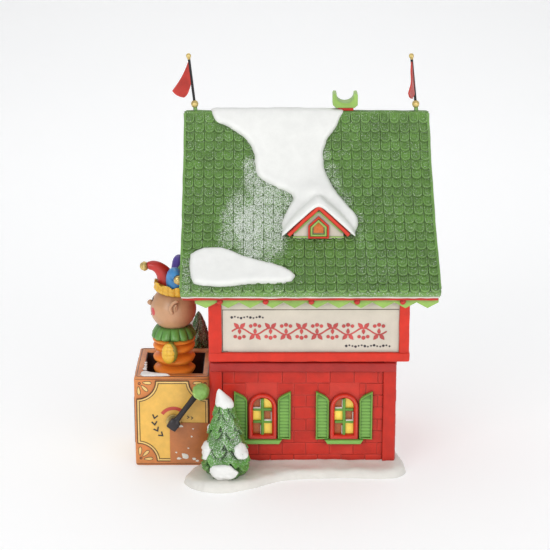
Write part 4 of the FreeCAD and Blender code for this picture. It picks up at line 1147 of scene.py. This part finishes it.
def toy_box():
    """The box: hollow body with a worn orange glaze, painted sides, and its dark lining."""
    outer = (BOX_LEFT, BOX_RIGHT, BOX_FRONT, BOX_REAR)
    outside = ((0.5, 0.0), (0.1, 0.4), (0.0, 1.2), (0.0, 12), (0.0, 24), (0.0, 36), (0.0, BOX_TOP - 1.2),
               (0.15, BOX_TOP - 0.5), (0.5, BOX_TOP - 0.12), (1.1, BOX_TOP))
    shape = []
    for inset, high in outside:
        line = inset_rectangle(outer, inset, 1.1)
        shape.append([wobble((x, y, high), 8, 0.14 if inset else 0.06) for x, y in line])
    count = len(shape[0])
    for grow, high in ((0.3, BOX_TOP), (0.0, BOX_TOP - 0.3), (0.0, BOX_TOP - 4), (0.0, 3.2)):
        line = inset_rectangle(OPENING, -grow, 0.6)
        spread = [line[round(number * len(line) / count) % len(line)] for number in range(count)]
        shape.append([wobble((x, y, high), 4, 0.15) for x, y in spread])
    Clay().add(*loft(shape)).make("toy_box_body", "toy_orange", ["toy_box_walls", "toy_box_rim"], sharp=50)
    lining = []
    for grow, high, uneven in ((0.1, 0.1, 0), (0.1, BOX_TOP - 0.7, 0.5), (-0.3, BOX_TOP - 0.9, 0.5),
                               (-0.35, 3.0, 0)):
        lining.append([(x, y, high + uneven * noise.noise(Vector((x, y, 0)) / 1.5))
                       for x, y in inset_rectangle(OPENING, -grow, 0.6)])
    Clay().add(*loft(lining)).make("toy_box_lining", "toy_dark", ["toy_box_floor"])

    def flank(u, v, out):
        return (BOX_LEFT - (0.4 * out if out > 0 else out), -u, v)

    def back(u, v, out):
        return (-u, BOX_REAR + out, v)

    clays = {"yellow": Clay(), "cream": Clay(), "line": Clay()}
    low, high = BOX_LEFT + 1.2, WALL_LEFT - 1.1
    for start, end, place in ((low, high, box_front), (-BOX_REAR + 1.4, -BOX_FRONT - 1.4, flank),
                              (-high, -low, back)):
        side_panel(clays, start, end, 2.6, 45.4, place)
    for a, b in (((low - 0.6, 46.2), (high + 0.5, 46.3)), ((low - 0.5, 1.1), (high, 1.0))):
        clays["line"].add(*ribbon([a, b], 0.22, 0.08, box_front))
    clays["yellow"].make("toy_box_fields", "toy_yellow", ["toy_box_front_panel"])
    clays["cream"].make("toy_box_stripes", "cream", paint="stripe")
    clays["line"].make("toy_box_lines", "toy_orange", paint="line_dark")


def box_paint():
    """What is painted on the box front round the crank, and where its glaze is chipped."""
    corners = [(-57.0, 2.2), (-47, 2.0), (-37.6, 2.2), (-37.5, 12), (-37.6, 23.2), (-47, 23.4), (-57.0, 23.3),
               (-57.1, 12)]
    Clay().add(*plate(corners, 0.3, 0.8, box_front, 0.2)
               ).make("toy_box_plate", "toy_orange", paint="plate_brown")
    arc = [(HUB[0] + 6.75 * math.cos(turn), HUB[1] + 6.75 * math.sin(turn))
           for turn in (math.radians(146 - 94 * step / 16) for step in range(17))]
    Clay().add(*ribbon(arc, 2.1, 0.62, box_front)).make("toy_box_arc", "toy_orange", paint="arc_red")
    marks = Clay()
    for number in range(4):
        a = math.radians(166 + number * 21)
        line = [(HUB[0] + reach * math.cos(a) - ahead * math.sin(a),
                 HUB[1] + reach * math.sin(a) + ahead * math.cos(a))
                for reach, ahead in ((10.9, -0.9), (9.6, 0.9), (8.3, -0.9))]
        marks.add(*ribbon(line, 0.75, 0.62, box_front))
    for u, v in ((-48.3, 26.2), (-46.4, 25.8)):
        marks.add(*ribbon([(u, v + 0.7), (u + 0.9, v), (u, v - 0.7)], 0.35, 0.62, box_front))
    marks.make("toy_box_arrows", "toy_orange", paint="ink")
    chips = Clay()
    for u, v, size in ((-51.6, 21.6, 1.5), (-49.6, 5.4, 2.6), (-52.6, 4.2, 1.3), (-45.2, 4.0, 1.2),
                       (-48.0, 9.8, 0.7), (-46.2, 16.0, 0.8), (-45.4, 20.2, 0.6), (-54.0, 7.4, 0.6),
                       (-43.6, 2.9, 0.9)):
        chips.add(*plate(ragged(u, v, size, 11, (0.45, 1.1), (0.35, 0.8)), 0.5, 0.92, box_front, 0.08))
    chips.make("toy_box_chips", "snow", paint="eave_white")


def box_top():
    """The thin line round the top of the box, and the snow left on it."""
    line = inset_rectangle((BOX_LEFT + 1.3, WALL_LEFT - 1.2, BOX_FRONT + 1.3, BOX_REAR - 1.3), 0, 1.5)
    Clay().add(*ribbon(line, 0.25, 0.12, box_rim, True)
               ).make("toy_box_rim_line", "toy_orange", paint="line_dark")
    patch = [(-71.0, -24.6), (-67.0, -25.6), (-61, -25.0), (-56.8, -24.6), (-58.5, -22.8), (-63.2, -21.6),
             (-66.4, -20.4), (-69.2, -18.2), (-71.4, -20.4)]
    Clay().add(*drift_over(patch, 0.9, 1.4, box_rim, 0.5, 8.0, -0.3)).make("toy_box_snow_patch", "snow")
    scraps = Clay()
    for u, v, size in ((-69.9, -14.5, 1.4), (-69.7, -11.6, 1.1), (-69.8, -8.4, 1.2), (-69.9, -5.0, 0.9)):
        scraps.add(*plate(ragged(u, v, size, 9, (0.3, 0.9), (0.6, 1.1)), -0.3, 0.2, box_rim, 0.1))
    scraps.make("toy_box_snow_scraps", "snow")


def crank():
    """The faceted knob and its dark bar with a chunky hub."""
    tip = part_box("crank_knob")
    centre = (Vector(tip[0]) + Vector(tip[1])) / 2
    near, far = (value[1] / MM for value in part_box("crank_arm"))
    end = (centre.x / MM, centre.z / MM)
    ahead = Vector((end[0] - HUB[0], 0, end[1] - HUB[1])).normalized()
    aside = Vector((-ahead.z, 0, ahead.x))
    long = math.dist(end, HUB)
    outline = ((-2.3, 2.0, 0.5), (-1.9, 2.5, 0.05), (0.5, 2.7, 0), (2.6, 2.5, 0.05), (3.3, 1.55, 0.5),
               (4.8, 1.35, 0.55), (long * 0.6, 1.35, 0.5), (long - 2, 1.5, 0.4), (long, 1.45, 0.5))
    rings = []
    for along, half, inset in outline:
        core = Vector((HUB[0], 0, HUB[1])) + ahead * along
        face = near + inset
        section = ((-0.8, face), (0.8, face), (1, face + 0.35), (1, far), (-1, far), (-1, face + 0.35))
        rings.append([wobble(core + aside * side * half + Vector((0, level, 0)), 3, 0.25)
                      for side, level in section])
    Clay().add(*loft(rings)).make("crank_bar", "crank_black", ["crank_arm"], body="crank", sharp=50)
    knob_radius, worn_edge = 4.4 * MM, 0.16 * MM
    work = bmesh.new()
    bmesh.ops.create_icosphere(work, subdivisions=2, radius=knob_radius)
    for vertex in work.verts:
        vertex.co = vertex.co * (1 + 0.05 * noise.noise(vertex.co * 400))
        vertex.co += centre
    bmesh.ops.bevel(work, geom=list(work.edges), offset=worn_edge, segments=2, affect="EDGES", profile=0.6)
    mesh = bpy.data.meshes.new("crank_ball")
    work.to_mesh(mesh)
    work.free()
    mesh.shade_flat()
    place_piece(mesh, "crank_ball", "knob_green", ["crank_knob"], "crank")


# ---------------------------------------------------------------- jack
def bellows():
    """Round-edged discs on a narrow neck, and the spring inside; in the toy both flatten as the figure goes
    down, though these meshes keep one shape.
    """
    foot, pitch = 3.0, 6.2
    disc = ((7.0, 0.6), (8.2, 1.5), (9.9, 2.5), (10.45, 3.3), (10.6, 3.9), (10.4, 4.5), (9.7, 5.2),
            (8.0, 6.0))
    profile = [(5.5, foot), (8.4, foot)]
    profile += [(reach, foot + number * pitch + rise) for number in range(9) for reach, rise in disc]
    profile += [(7.4, 61.2), (5.5, 61.2)]

    def uneven(turn, reach, high):
        wave = 0.35 * math.sin(turn * 2 + high * 0.9) * (reach - 7) / 4
        return reach + 0.15 * math.sin(3 * turn + high), high + wave

    folds = Clay().add(*turned(profile, (*AXIS, 0), 56, uneven)
                       ).make("bellows_discs", "bellows_orange", ["jack_bellows"], sharp=70)
    coil, wide, wire = [], 4.4, 0.8
    for step in range(123):
        turn = step * 0.42
        coil.append((AXIS[0] + wide * math.cos(turn), AXIS[1] + wide * math.sin(turn), 4.0 + step * 0.4435,
                     wire))
    spring = Clay().add(*tube(coil, 8, 1)).make("bellows_spring", "steel", ["jack_spring"])
    for item in (folds, spring):
        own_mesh(item)


def spot_on_head(clay, across, up, side, wide, tall, lift=0.18):
    """A small painted oval that follows the head; side is -1 towards the front of the shop."""
    far = math.sqrt(HEAD_SIZE ** 2 - across ** 2 - up ** 2)
    normal = Vector((across, side * far, up)).normalized()
    right = normal.cross(Vector((0, 0, 1))).normalized()
    high = right.cross(normal)
    dome = ((1.0, -0.15), (0.98, lift * 0.4), (0.85, lift), (0.45, lift * 1.15), (0.05, lift * 1.2))
    rings = []
    for share, out in dome:
        ring = []
        for turn in around(20):
            aside = right * wide * share * math.cos(turn) + high * tall * share * math.sin(turn)
            ring.append(HEAD + (normal * HEAD_SIZE + aside).normalized() * (HEAD_SIZE + out))
        rings.append(ring)
    clay.add(*loft(rings))


def figure():
    """Shoulders, a ruff with 13 pleats, and the round head."""
    shoulder = [(0.1, 59.0), (9.2, 59.0), (10.6, 59.6), (10.8, 60.3), (9.8, 61.2), (7.5, 61.8), (0.1, 61.9)]
    Clay().add(*turned(shoulder, (*AXIS, 0), 48)
               ).make("shoulder_disc", "bellows_orange", ["jack_shoulder"], "jack")

    def pleat(turn, reach, high):
        lobe = abs(math.cos(6.5 * turn)) ** 0.55
        share = clamped((reach - 5.5) / 5.5)
        return reach * (1 - 0.11 * share * (1 - lobe)), high + 0.3 * share * math.sin(3 * turn)

    ruff = [(5.0, 61.6), (8.2, 61.0), (9.9, 61.0), (11.0, 61.5), (11.35, 62.2), (11.2, 63.0), (10.7, 63.9),
            (10.0, 65.1), (9.2, 66.2), (8.2, 67.0), (7.0, 67.4), (5.5, 67.6)]
    Clay().add(*turned(ruff, (*AXIS, 0), 208, pleat)
               ).make("ruff_pleats", "ruff_green", ["jack_ruff"], "jack", sharp=60)

    def shape_head(point):
        away = point - HEAD
        cheek = 0.01 * math.exp(-((away.z + 2.5) / 5) ** 2)
        return HEAD + away * (1 + cheek) + noise.noise_vector(point / 7) * 0.12

    Clay().add(*ball(HEAD, (HEAD_SIZE, HEAD_SIZE, HEAD_SIZE - 0.2), 64, 44, shape_head)
               ).make("head_ball", "skin", ["jack_head"], "jack")


def face():
    """Nose, ears, cheeks, eyes and a plain smile."""
    features = Clay()
    features.add(*ball((HEAD.x - 11.5, HEAD.y, HEAD.z + 2.9), (1.55, 1.45, 1.45), 24, 14,
                       lambda point: wobble(point, 2, 0.08)))
    rim = ((2.08, 0.2, 3.36, 0.45), (1.52, 0.7, 3.68, 0.765), (0.4, 0.8, 3.28, 0.855),
           (-0.72, 0.8, 2.32, 0.9), (-1.44, 0.75, 0.88, 0.9), (-1.52, 0.7, -0.4, 0.9),
           (-1.2, 0.6, -1.6, 0.855), (-0.72, 0.4, -2.48, 0.72), (-0.24, 0.1, -2.88, 0.45))
    fold = ((1.3, 0.45, 2.1, 0.35), (0.4, 0.55, 0.3, 0.55), (0.25, 0.5, -1.9, 0.35))
    for side in (-1, 1):
        ear = Vector((HEAD.x + 0.9, HEAD.y + side * 10.9, HEAD.z + 3.2))
        for spots, sides in ((rim, 12), (fold, 10)):
            features.add(*tube([(ear.x + across, ear.y + side * out, ear.z + up, radius)
                                for across, out, up, radius in spots], sides, 4))
        features.add(*ball((ear.x + 0.4, ear.y - side * 0.1, ear.z + 0.1), (1.6, 0.8, 2.5), 20, 12))
    features.make("ears_nose", "skin", ["jack_ears_and_nose"], "jack")

    cheeks, eyes, smile = Clay(), Clay(), Clay()
    for side in (-1, 1):
        spot_on_head(cheeks, -9.95, -0.2, side, 2.15, 2.2)
        spot_on_head(eyes, -10.15, 4.9, side, 0.75, 1.15)
    cheeks.make("cheek_spots", "skin", body="jack", paint="cheek")
    eyes.make("eye_spots", "skin", body="jack", paint="ink")
    line = []
    for share in (-1 + step / 6 for step in range(13)):
        ahead = Vector((-10.7, 3.4 * share, -3.3 + 1.3 * share * share)).normalized()
        line.append((*(HEAD + ahead * (HEAD_SIZE + 0.15)), 0.22))
    smile.add(*tube(line, 8, 1)).make("smile_line", "skin", body="jack", paint="arc_red")


def arms():
    """Mitten-like arms with creases between the fingers, on olive sleeves that reach the shoulders; an olive
    egg behind each mitt is painted shade on its far side.
    """
    mitts, sleeves_and_shades = Clay(), Clay()
    for side in (-1, 1):
        centre = Vector((-57.5, AXIS[1] + side * 13.3, 56.2))

        def fingers(point, centre=centre, side=side):
            away = point - centre
            crease = sum(0.38 * math.exp(-((away.z - level) / 0.38) ** 2) for level in (-0.6, 1.9, 4.2))
            if away.z > -2.5:
                crease += 0.42 * math.exp(-((away.x + 0.6 - 0.1 * away.z) / 0.4) ** 2)
            outward = max(away.y * side / 2.3, 0)
            return point - Vector((0, side, 0)) * crease * outward + noise.noise_vector(point / 3) * 0.12

        mitts.add(*ball(centre, (3.6, 2.25, 5.3), 44, 44, fingers))
        # Painted shade: an olive egg just behind each mitt darkens its far side.
        sleeves_and_shades.add(*ball(centre + Vector((1.3, -side * 0.35, 0.2)), (3.2, 1.9, 5.1), 28, 20))
        sleeves_and_shades.add(*tube([(centre.x + 0.8, centre.y - side * 0.9, 59.8, 1.6),
                         (centre.x + 1.2, centre.y - side * 3.4, 60.4, 1.4),
                         (AXIS[0], AXIS[1] + side * 6.0, 60.9, 1.2)], 14, 4))
    mitts.make("arm_mitts", "arm_yellow", ["jack_arms"], "jack", sharp=70)
    sleeves_and_shades.make("arm_sleeves", "arm_yellow", body="jack", paint="sleeve_and_shade_olive")


def hat():
    """A gathered yellow band with a crown-like edge and four curling horns with bells."""
    def gathered(turn, reach, high):
        fold = abs(math.sin(9 * turn)) ** 0.7
        rise = clamped((high - 85.5) / 4)
        lean = -1.5 * math.cos(turn) * (reach / 10)
        crown = 1.3 * rise * (abs(math.sin(4.5 * turn + 0.6)) - 0.5)
        return reach * (0.965 + 0.05 * fold), high + lean + crown

    band = [(5.0, 84.0), (8.2, 84.2), (9.2, 84.8), (9.6, 85.7), (9.35, 86.7), (9.2, 87.5), (9.4, 88.4),
            (9.1, 89.0), (8.4, 88.9), (7.4, 88.0), (5.5, 88.4), (2.5, 89.4), (0.1, 89.6)]
    Clay().add(*turned(band, (*AXIS, 0), 144, gathered)
               ).make("hat_gather", "hat_yellow", ["hat_band"], "jack", sharp=60)
    horns = {
        "red": [(-58.6, -4.4, 87.4, 4.0), (-59.0, -4.4, 91.0, 4.2), (-60.2, -4.6, 94.4, 3.9),
                (-62.2, -4.8, 96.8, 3.2), (-64.8, -5.0, 98.2, 2.6), (-67.0, -5.2, 98.4, 2.1),
                (-67.8, -5.2, 98.3, 1.8)],
        "blue": [(-54.6, -8.0, 87.0, 3.8), (-54.6, -8.6, 90.4, 4.2), (-54.5, -10.0, 93.8, 4.1),
                 (-54.2, -12.1, 95.9, 3.6), (-53.6, -14.2, 96.2, 2.8), (-53.0, -15.8, 95.6, 2.1),
                 (-52.8, -16.2, 95.4, 1.8)],
        "purple": [(-54.4, -0.6, 87.4, 3.4), (-54.0, 0.4, 90.6, 3.4), (-53.5, 2.0, 94.4, 3.3),
                   (-53.1, 4.0, 97.2, 3.2), (-53.0, 6.2, 98.0, 2.8), (-52.8, 8.0, 97.4, 2.3)],
        "green": [(-51.8, -4.0, 87.4, 3.8), (-51.4, -4.0, 91.0, 3.8), (-50.5, -3.8, 94.4, 3.6),
                  (-48.8, -3.6, 96.8, 3.1), (-46.5, -3.4, 98.2, 2.5), (-44.3, -3.2, 98.4, 2.0),
                  (-43.5, -3.2, 98.3, 1.8)],
    }
    bells = Clay()
    for name, spots in horns.items():
        points, faces = tube(spots, 26, 6)
        Clay().add([wobble(point, 4, 0.16) for point in points], faces
                   ).make(f"horn_{name}", f"horn_{name}", [f"hat_horn_{name}"], "jack", sharp=60)
        last, before = Vector(spots[-1][:3]), Vector(spots[-2][:3])
        heading = (last - before).normalized()
        centre = last + heading * 1.9
        side = heading.orthogonal().normalized()
        other = heading.cross(side)
        rings = []
        for step in range(25):
            a = math.pi * clamped(step / 24, 0.02, 0.98)
            seam = 0.1 * math.exp(-((step - 12) / 0.9) ** 2) - 0.22 * math.exp(-((step - 15) / 1.0) ** 2)
            reach = (2.35 + seam) * math.sin(a)
            middle = centre + heading * (-2.25 * math.cos(a))
            rings.append([middle + (side * math.cos(turn) + other * math.sin(turn)) * reach
                          for turn in around(24)])
        bells.add(*loft(rings))
    bells.make("horn_bells", "brass", ["hat_bells"], body="jack", sharp=70)


# ---------------------------------------------------------------- trees
def fir(name, slot, node_name, centre, foot, tall, envelope, tiers, lobes, frost, bend=0.0, wall=1e9):
    """A fir inside an envelope of (share, radius), carved in overlapping tiers with drooping lobes."""
    def broad_at(share):
        for (low, near), (high, far) in zip(envelope, envelope[1:]):
            if share <= high:
                return near + (far - near) * (share - low) / (high - low)

    def reach_at(turn, share):
        share = clamped(share)
        tier = (1 - share) * tiers
        droop = 0.75 * abs(math.sin(lobes * turn / 2 + 2.4 * int(tier))) - 0.3
        fall = (tier - droop) % 1.0
        under = max((fall - 0.88) / 0.12, 0)
        return broad_at(share) * (0.7 + 0.3 * fall ** 0.7 * (1 - 0.8 * under))

    rows, sides = 160, 160
    rings, tints, frosts = [], [], []
    for row in range(rows + 1):
        share = row / rows
        ring = []
        for turn in around(sides):
            reach = reach_at(turn, share)
            needle = noise.noise(Vector((turn * 11, share * 26, 1)))
            needle += 0.6 * noise.noise(Vector((turn * 25, share * 40, 5)))
            reach += needle * 0.3 * min(reach / 3, 1)
            x = centre[0] + math.cos(turn) * reach + bend * share ** 2
            ring.append(Vector((min(x, wall), centre[1] + math.sin(turn) * reach, foot + share * tall)))
            # Tone follows depth: darker deep between the boughs, a painted shade, lighter out at the bough
            # tips.
            tints.append(0.3 * needle + 0.9 * (reach / max(broad_at(share), 1.0) - 0.86))
            frosts.append(frost(turn, share))
        rings.append(ring)
    Clay().add(*loft(rings), tint=tints, frost=frosts).make(name, slot, [node_name], sharp=80)

    def surface(turn, share, out):
        near = [reach_at(turn + shift, share + rise) for shift in (-0.2, 0, 0.2) for rise in (-0.03, 0.03)]
        reach = (sum(near) / 6 + 2 * max(near)) / 3
        x = centre[0] + math.cos(turn) * (reach + out) + bend * share ** 2
        return Vector((min(x, wall), centre[1] + math.sin(turn) * (reach + out), foot + share * tall))
    return surface


def pad(surface, turn, share, wide, tall, thick, seed):
    """A rounded patch of snow on a tree."""
    profile = ((1.0, -1.0), (1.0, 0.1), (0.93, 0.55), (0.8, 0.8), (0.6, 0.93), (0.35, 1.0), (0.05, 1.02))
    rings = []
    for step, out in profile:
        ring = []
        for a in around(28):
            rough = 1 + 0.22 * noise.noise(Vector((math.cos(a), math.sin(a), seed)) * 1.4)
            ring.append(surface(turn + wide * step * rough * math.cos(a),
                                share + tall * step * rough * math.sin(a), thick * out if out > 0 else out))
        rings.append(ring)
    return loft(rings)


def trees():
    """The frosted tree in front of the crank and the dark one behind the box."""
    def front_frost(turn, share):
        ahead = max(math.cos(turn + math.pi / 2 - 0.2), 0) ** 0.8
        patchy = 0.8 + 0.5 * noise.noise(Vector((turn * 2.3, share * 6, 7)))
        band = clamped((share - 0.2) * 9) * clamped((0.92 - share) * 9)
        return 0.37 * ahead * patchy * band + 0.06

    envelope = ((0, 7.4), (0.06, 10.2), (0.14, 12.6), (0.3, 12.4), (0.42, 10.2), (0.56, 9.0), (0.7, 6.8),
                (0.85, 4.8), (0.94, 2.6), (1.0, 0.5))
    surface = fir("fir_front", "tree_green", "tree_front", (-28.6, -46.0), 2.4, 43.4, envelope, 5.0, 6,
                  front_frost, -1.0)
    snow = Clay()
    for spot in ((-2.8, 0.36, 0.4, 0.105, 1.1, 1), (-0.66, 0.375, 0.44, 0.09, 1.2, 2),
                 (-1.7, 0.145, 0.62, 0.105, 1.5, 3), (1.2, 0.3, 0.5, 0.09, 1.2, 4),
                 (2.4, 0.55, 0.5, 0.08, 1.1, 5)):
        snow.add(*pad(surface, *spot))
    cap = []
    for high, reach, lean in ((37.6, 0.6, 0.0), (38.2, 2.7, 0.1), (39.4, 4.1, 0.1), (41.0, 4.5, -0.1),
                              (42.6, 4.1, -0.5), (44.2, 3.2, -1.1), (45.8, 2.2, -1.8), (47.2, 1.3, -2.4),
                              (48.3, 0.35, -2.8)):
        cap.append([wobble((x, y, high), 4, 0.3)
                    for x, y in oval((-28.9 + lean, -46.2), reach, reach * 0.9, 28)])
    snow.add(*loft(cap))
    snow.make("fir_front_snow", "snow")

    def rear_frost(turn, share):
        side = 0.5 + 0.5 * math.cos(turn + 0.5)
        return 0.5 * side * clamped((share - 0.55) * 4) + 0.08

    envelope = ((0, 9.5), (0.08, 11.2), (0.3, 10.4), (0.5, 8.8), (0.7, 6.8), (0.85, 4.6), (0.96, 2.0),
                (1.0, 0.4))
    surface = fir("fir_rear", "tree_dark", "tree_rear", (-44.6, 30.0), 3.2, 59.6, envelope, 8.0, 7,
                  rear_frost, 0.0, WALL_LEFT - 0.2)
    snow = Clay()
    for spot in ((3.1, 0.84, 0.6, 0.075, 0.8, 6), (1.2, 0.62, 0.5, 0.05, 0.8, 7),
                 (2.2, 0.45, 0.5, 0.06, 1.0, 8), (-2.0, 0.2, 0.5, 0.05, 1.0, 9)):
        snow.add(*pad(surface, *spot))
    snow.make("fir_rear_snow", "snow")


# ---------------------------------------------------------------- CAD nodes that stay in view
def dress_cad():
    """Finishes for the CAD nodes, and softened edges where a CAD node is seen close by."""
    slots = {part["node"]: part["material_slot"] for part in frame["record"]["subparts"]}
    for name, item in frame["nodes"].items():
        item.data.materials.clear()
        item.data.materials.append(MATERIALS[slots[name]])
    for name, width in (("crank_bush", 0.2), ("crank_shaft", 0.2), ("crank_collar", 0.15)):
        item = frame["nodes"][name]
        item.modifiers.new("joined", "WELD").merge_threshold = 0.00001
        edges = item.modifiers.new("worn", "BEVEL")
        edges.width = width * MM
        edges.segments = 3
        edges.limit_method = "ANGLE"
        edges.angle_limit = math.radians(40)


# ---------------------------------------------------------------- floor, light, camera
def studio():
    """A pale sweep, soft boxes all round, and the camera."""
    far = 20000
    curve = [(-1600, 0), (-600, 0), (0, 0), (500, 0), (700, 8), (850, 45), (960, 120), (1030, 230),
             (1060, 400), (1070, 700), (1070, 1600)]
    rows = [(-far, 0)] + smooth_line(curve, 5)
    columns = (-far, -2200, -700, 0, 700, 2200, far)
    points = [(x * MM, y * MM, (z - 0.05) * MM) for y, z in rows for x in columns]
    mesh = bpy.data.meshes.new("sweep")
    mesh.from_pydata(points, [], grid(len(rows), len(columns)))
    mesh.shade_smooth()
    paper = bpy.data.materials.new("paper")
    paper.use_nodes = True
    nodes, links = paper.node_tree.nodes, paper.node_tree.links
    surface = nodes["Principled BSDF"]
    surface.inputs["Base Color"].default_value = (0.7, 0.7, 0.7, 1)
    # The paper glows, strongest on the floor and fading up the backdrop: painted light that brightens the
    # floor.
    surface.inputs["Emission Color"].default_value = (1, 1, 1, 1)
    split, rise = nodes.new("ShaderNodeSeparateXYZ"), nodes.new("ShaderNodeMapRange")
    for key, value in (("From Min", 0.0), ("From Max", 0.3), ("To Min", 0.41), ("To Max", 0.12)):
        rise.inputs[key].default_value = value
    links.new(nodes.new("ShaderNodeTexCoord").outputs["Object"], split.inputs[0])
    links.new(split.outputs["Z"], rise.inputs["Value"])
    links.new(rise.outputs["Result"], surface.inputs["Emission Strength"])
    surface.inputs["Roughness"].default_value = 0.7
    mesh.materials.append(paper)
    sweep = bpy.data.objects.new("sweep", mesh)
    bpy.context.scene.collection.objects.link(sweep)

    world = bpy.data.worlds.new("room")
    world.use_nodes = True
    world.node_tree.nodes["Background"].inputs["Color"].default_value = (0.95, 0.97, 1.0, 1)
    world.node_tree.nodes["Background"].inputs["Strength"].default_value = 0.42
    bpy.context.scene.world = world
    for name, place, aim, size, power in (("key", (-380, -700, 420), (0, 0, 80), 460, 2.4),
                                          ("fill", (520, -700, 300), (0, 0, 80), 520, 1.75),
                                          ("top", (0, 60, 800), (0, 0, 60), 700, 0.8),
                                          ("back", (0, 560, 760), (0, 900, 200), 700, 1.5)):
        lamp = bpy.data.lights.new(name, "AREA")
        lamp.size = size * MM
        lamp.energy = power
        item = bpy.data.objects.new(name, lamp)
        item.location = Vector(place) * MM
        item.rotation_euler = (Vector(aim) - Vector(place)).to_track_quat("-Z", "Y").to_euler()
        bpy.context.scene.collection.objects.link(item)
    lens = bpy.data.cameras.new("camera")
    lens.lens = 111.93
    lens.sensor_width = 36
    camera = bpy.data.objects.new("camera", lens)
    camera.location = (-0.0046, -0.8205, 0.34272)
    camera.rotation_euler = (math.radians(73), 0, 0)
    bpy.context.scene.collection.objects.link(camera)
    bpy.context.scene.camera = camera
    bpy.context.scene.view_settings.view_transform = "Standard"


for part in (dress_cad, ground, walls, sign, windows, shingles, roof_edges, eave_trim, roof_snow, dormer,
             chimney, flags, toy_box, box_paint, box_top, crank, bellows, figure, face, arms, hat, trees,
             studio):
    part()
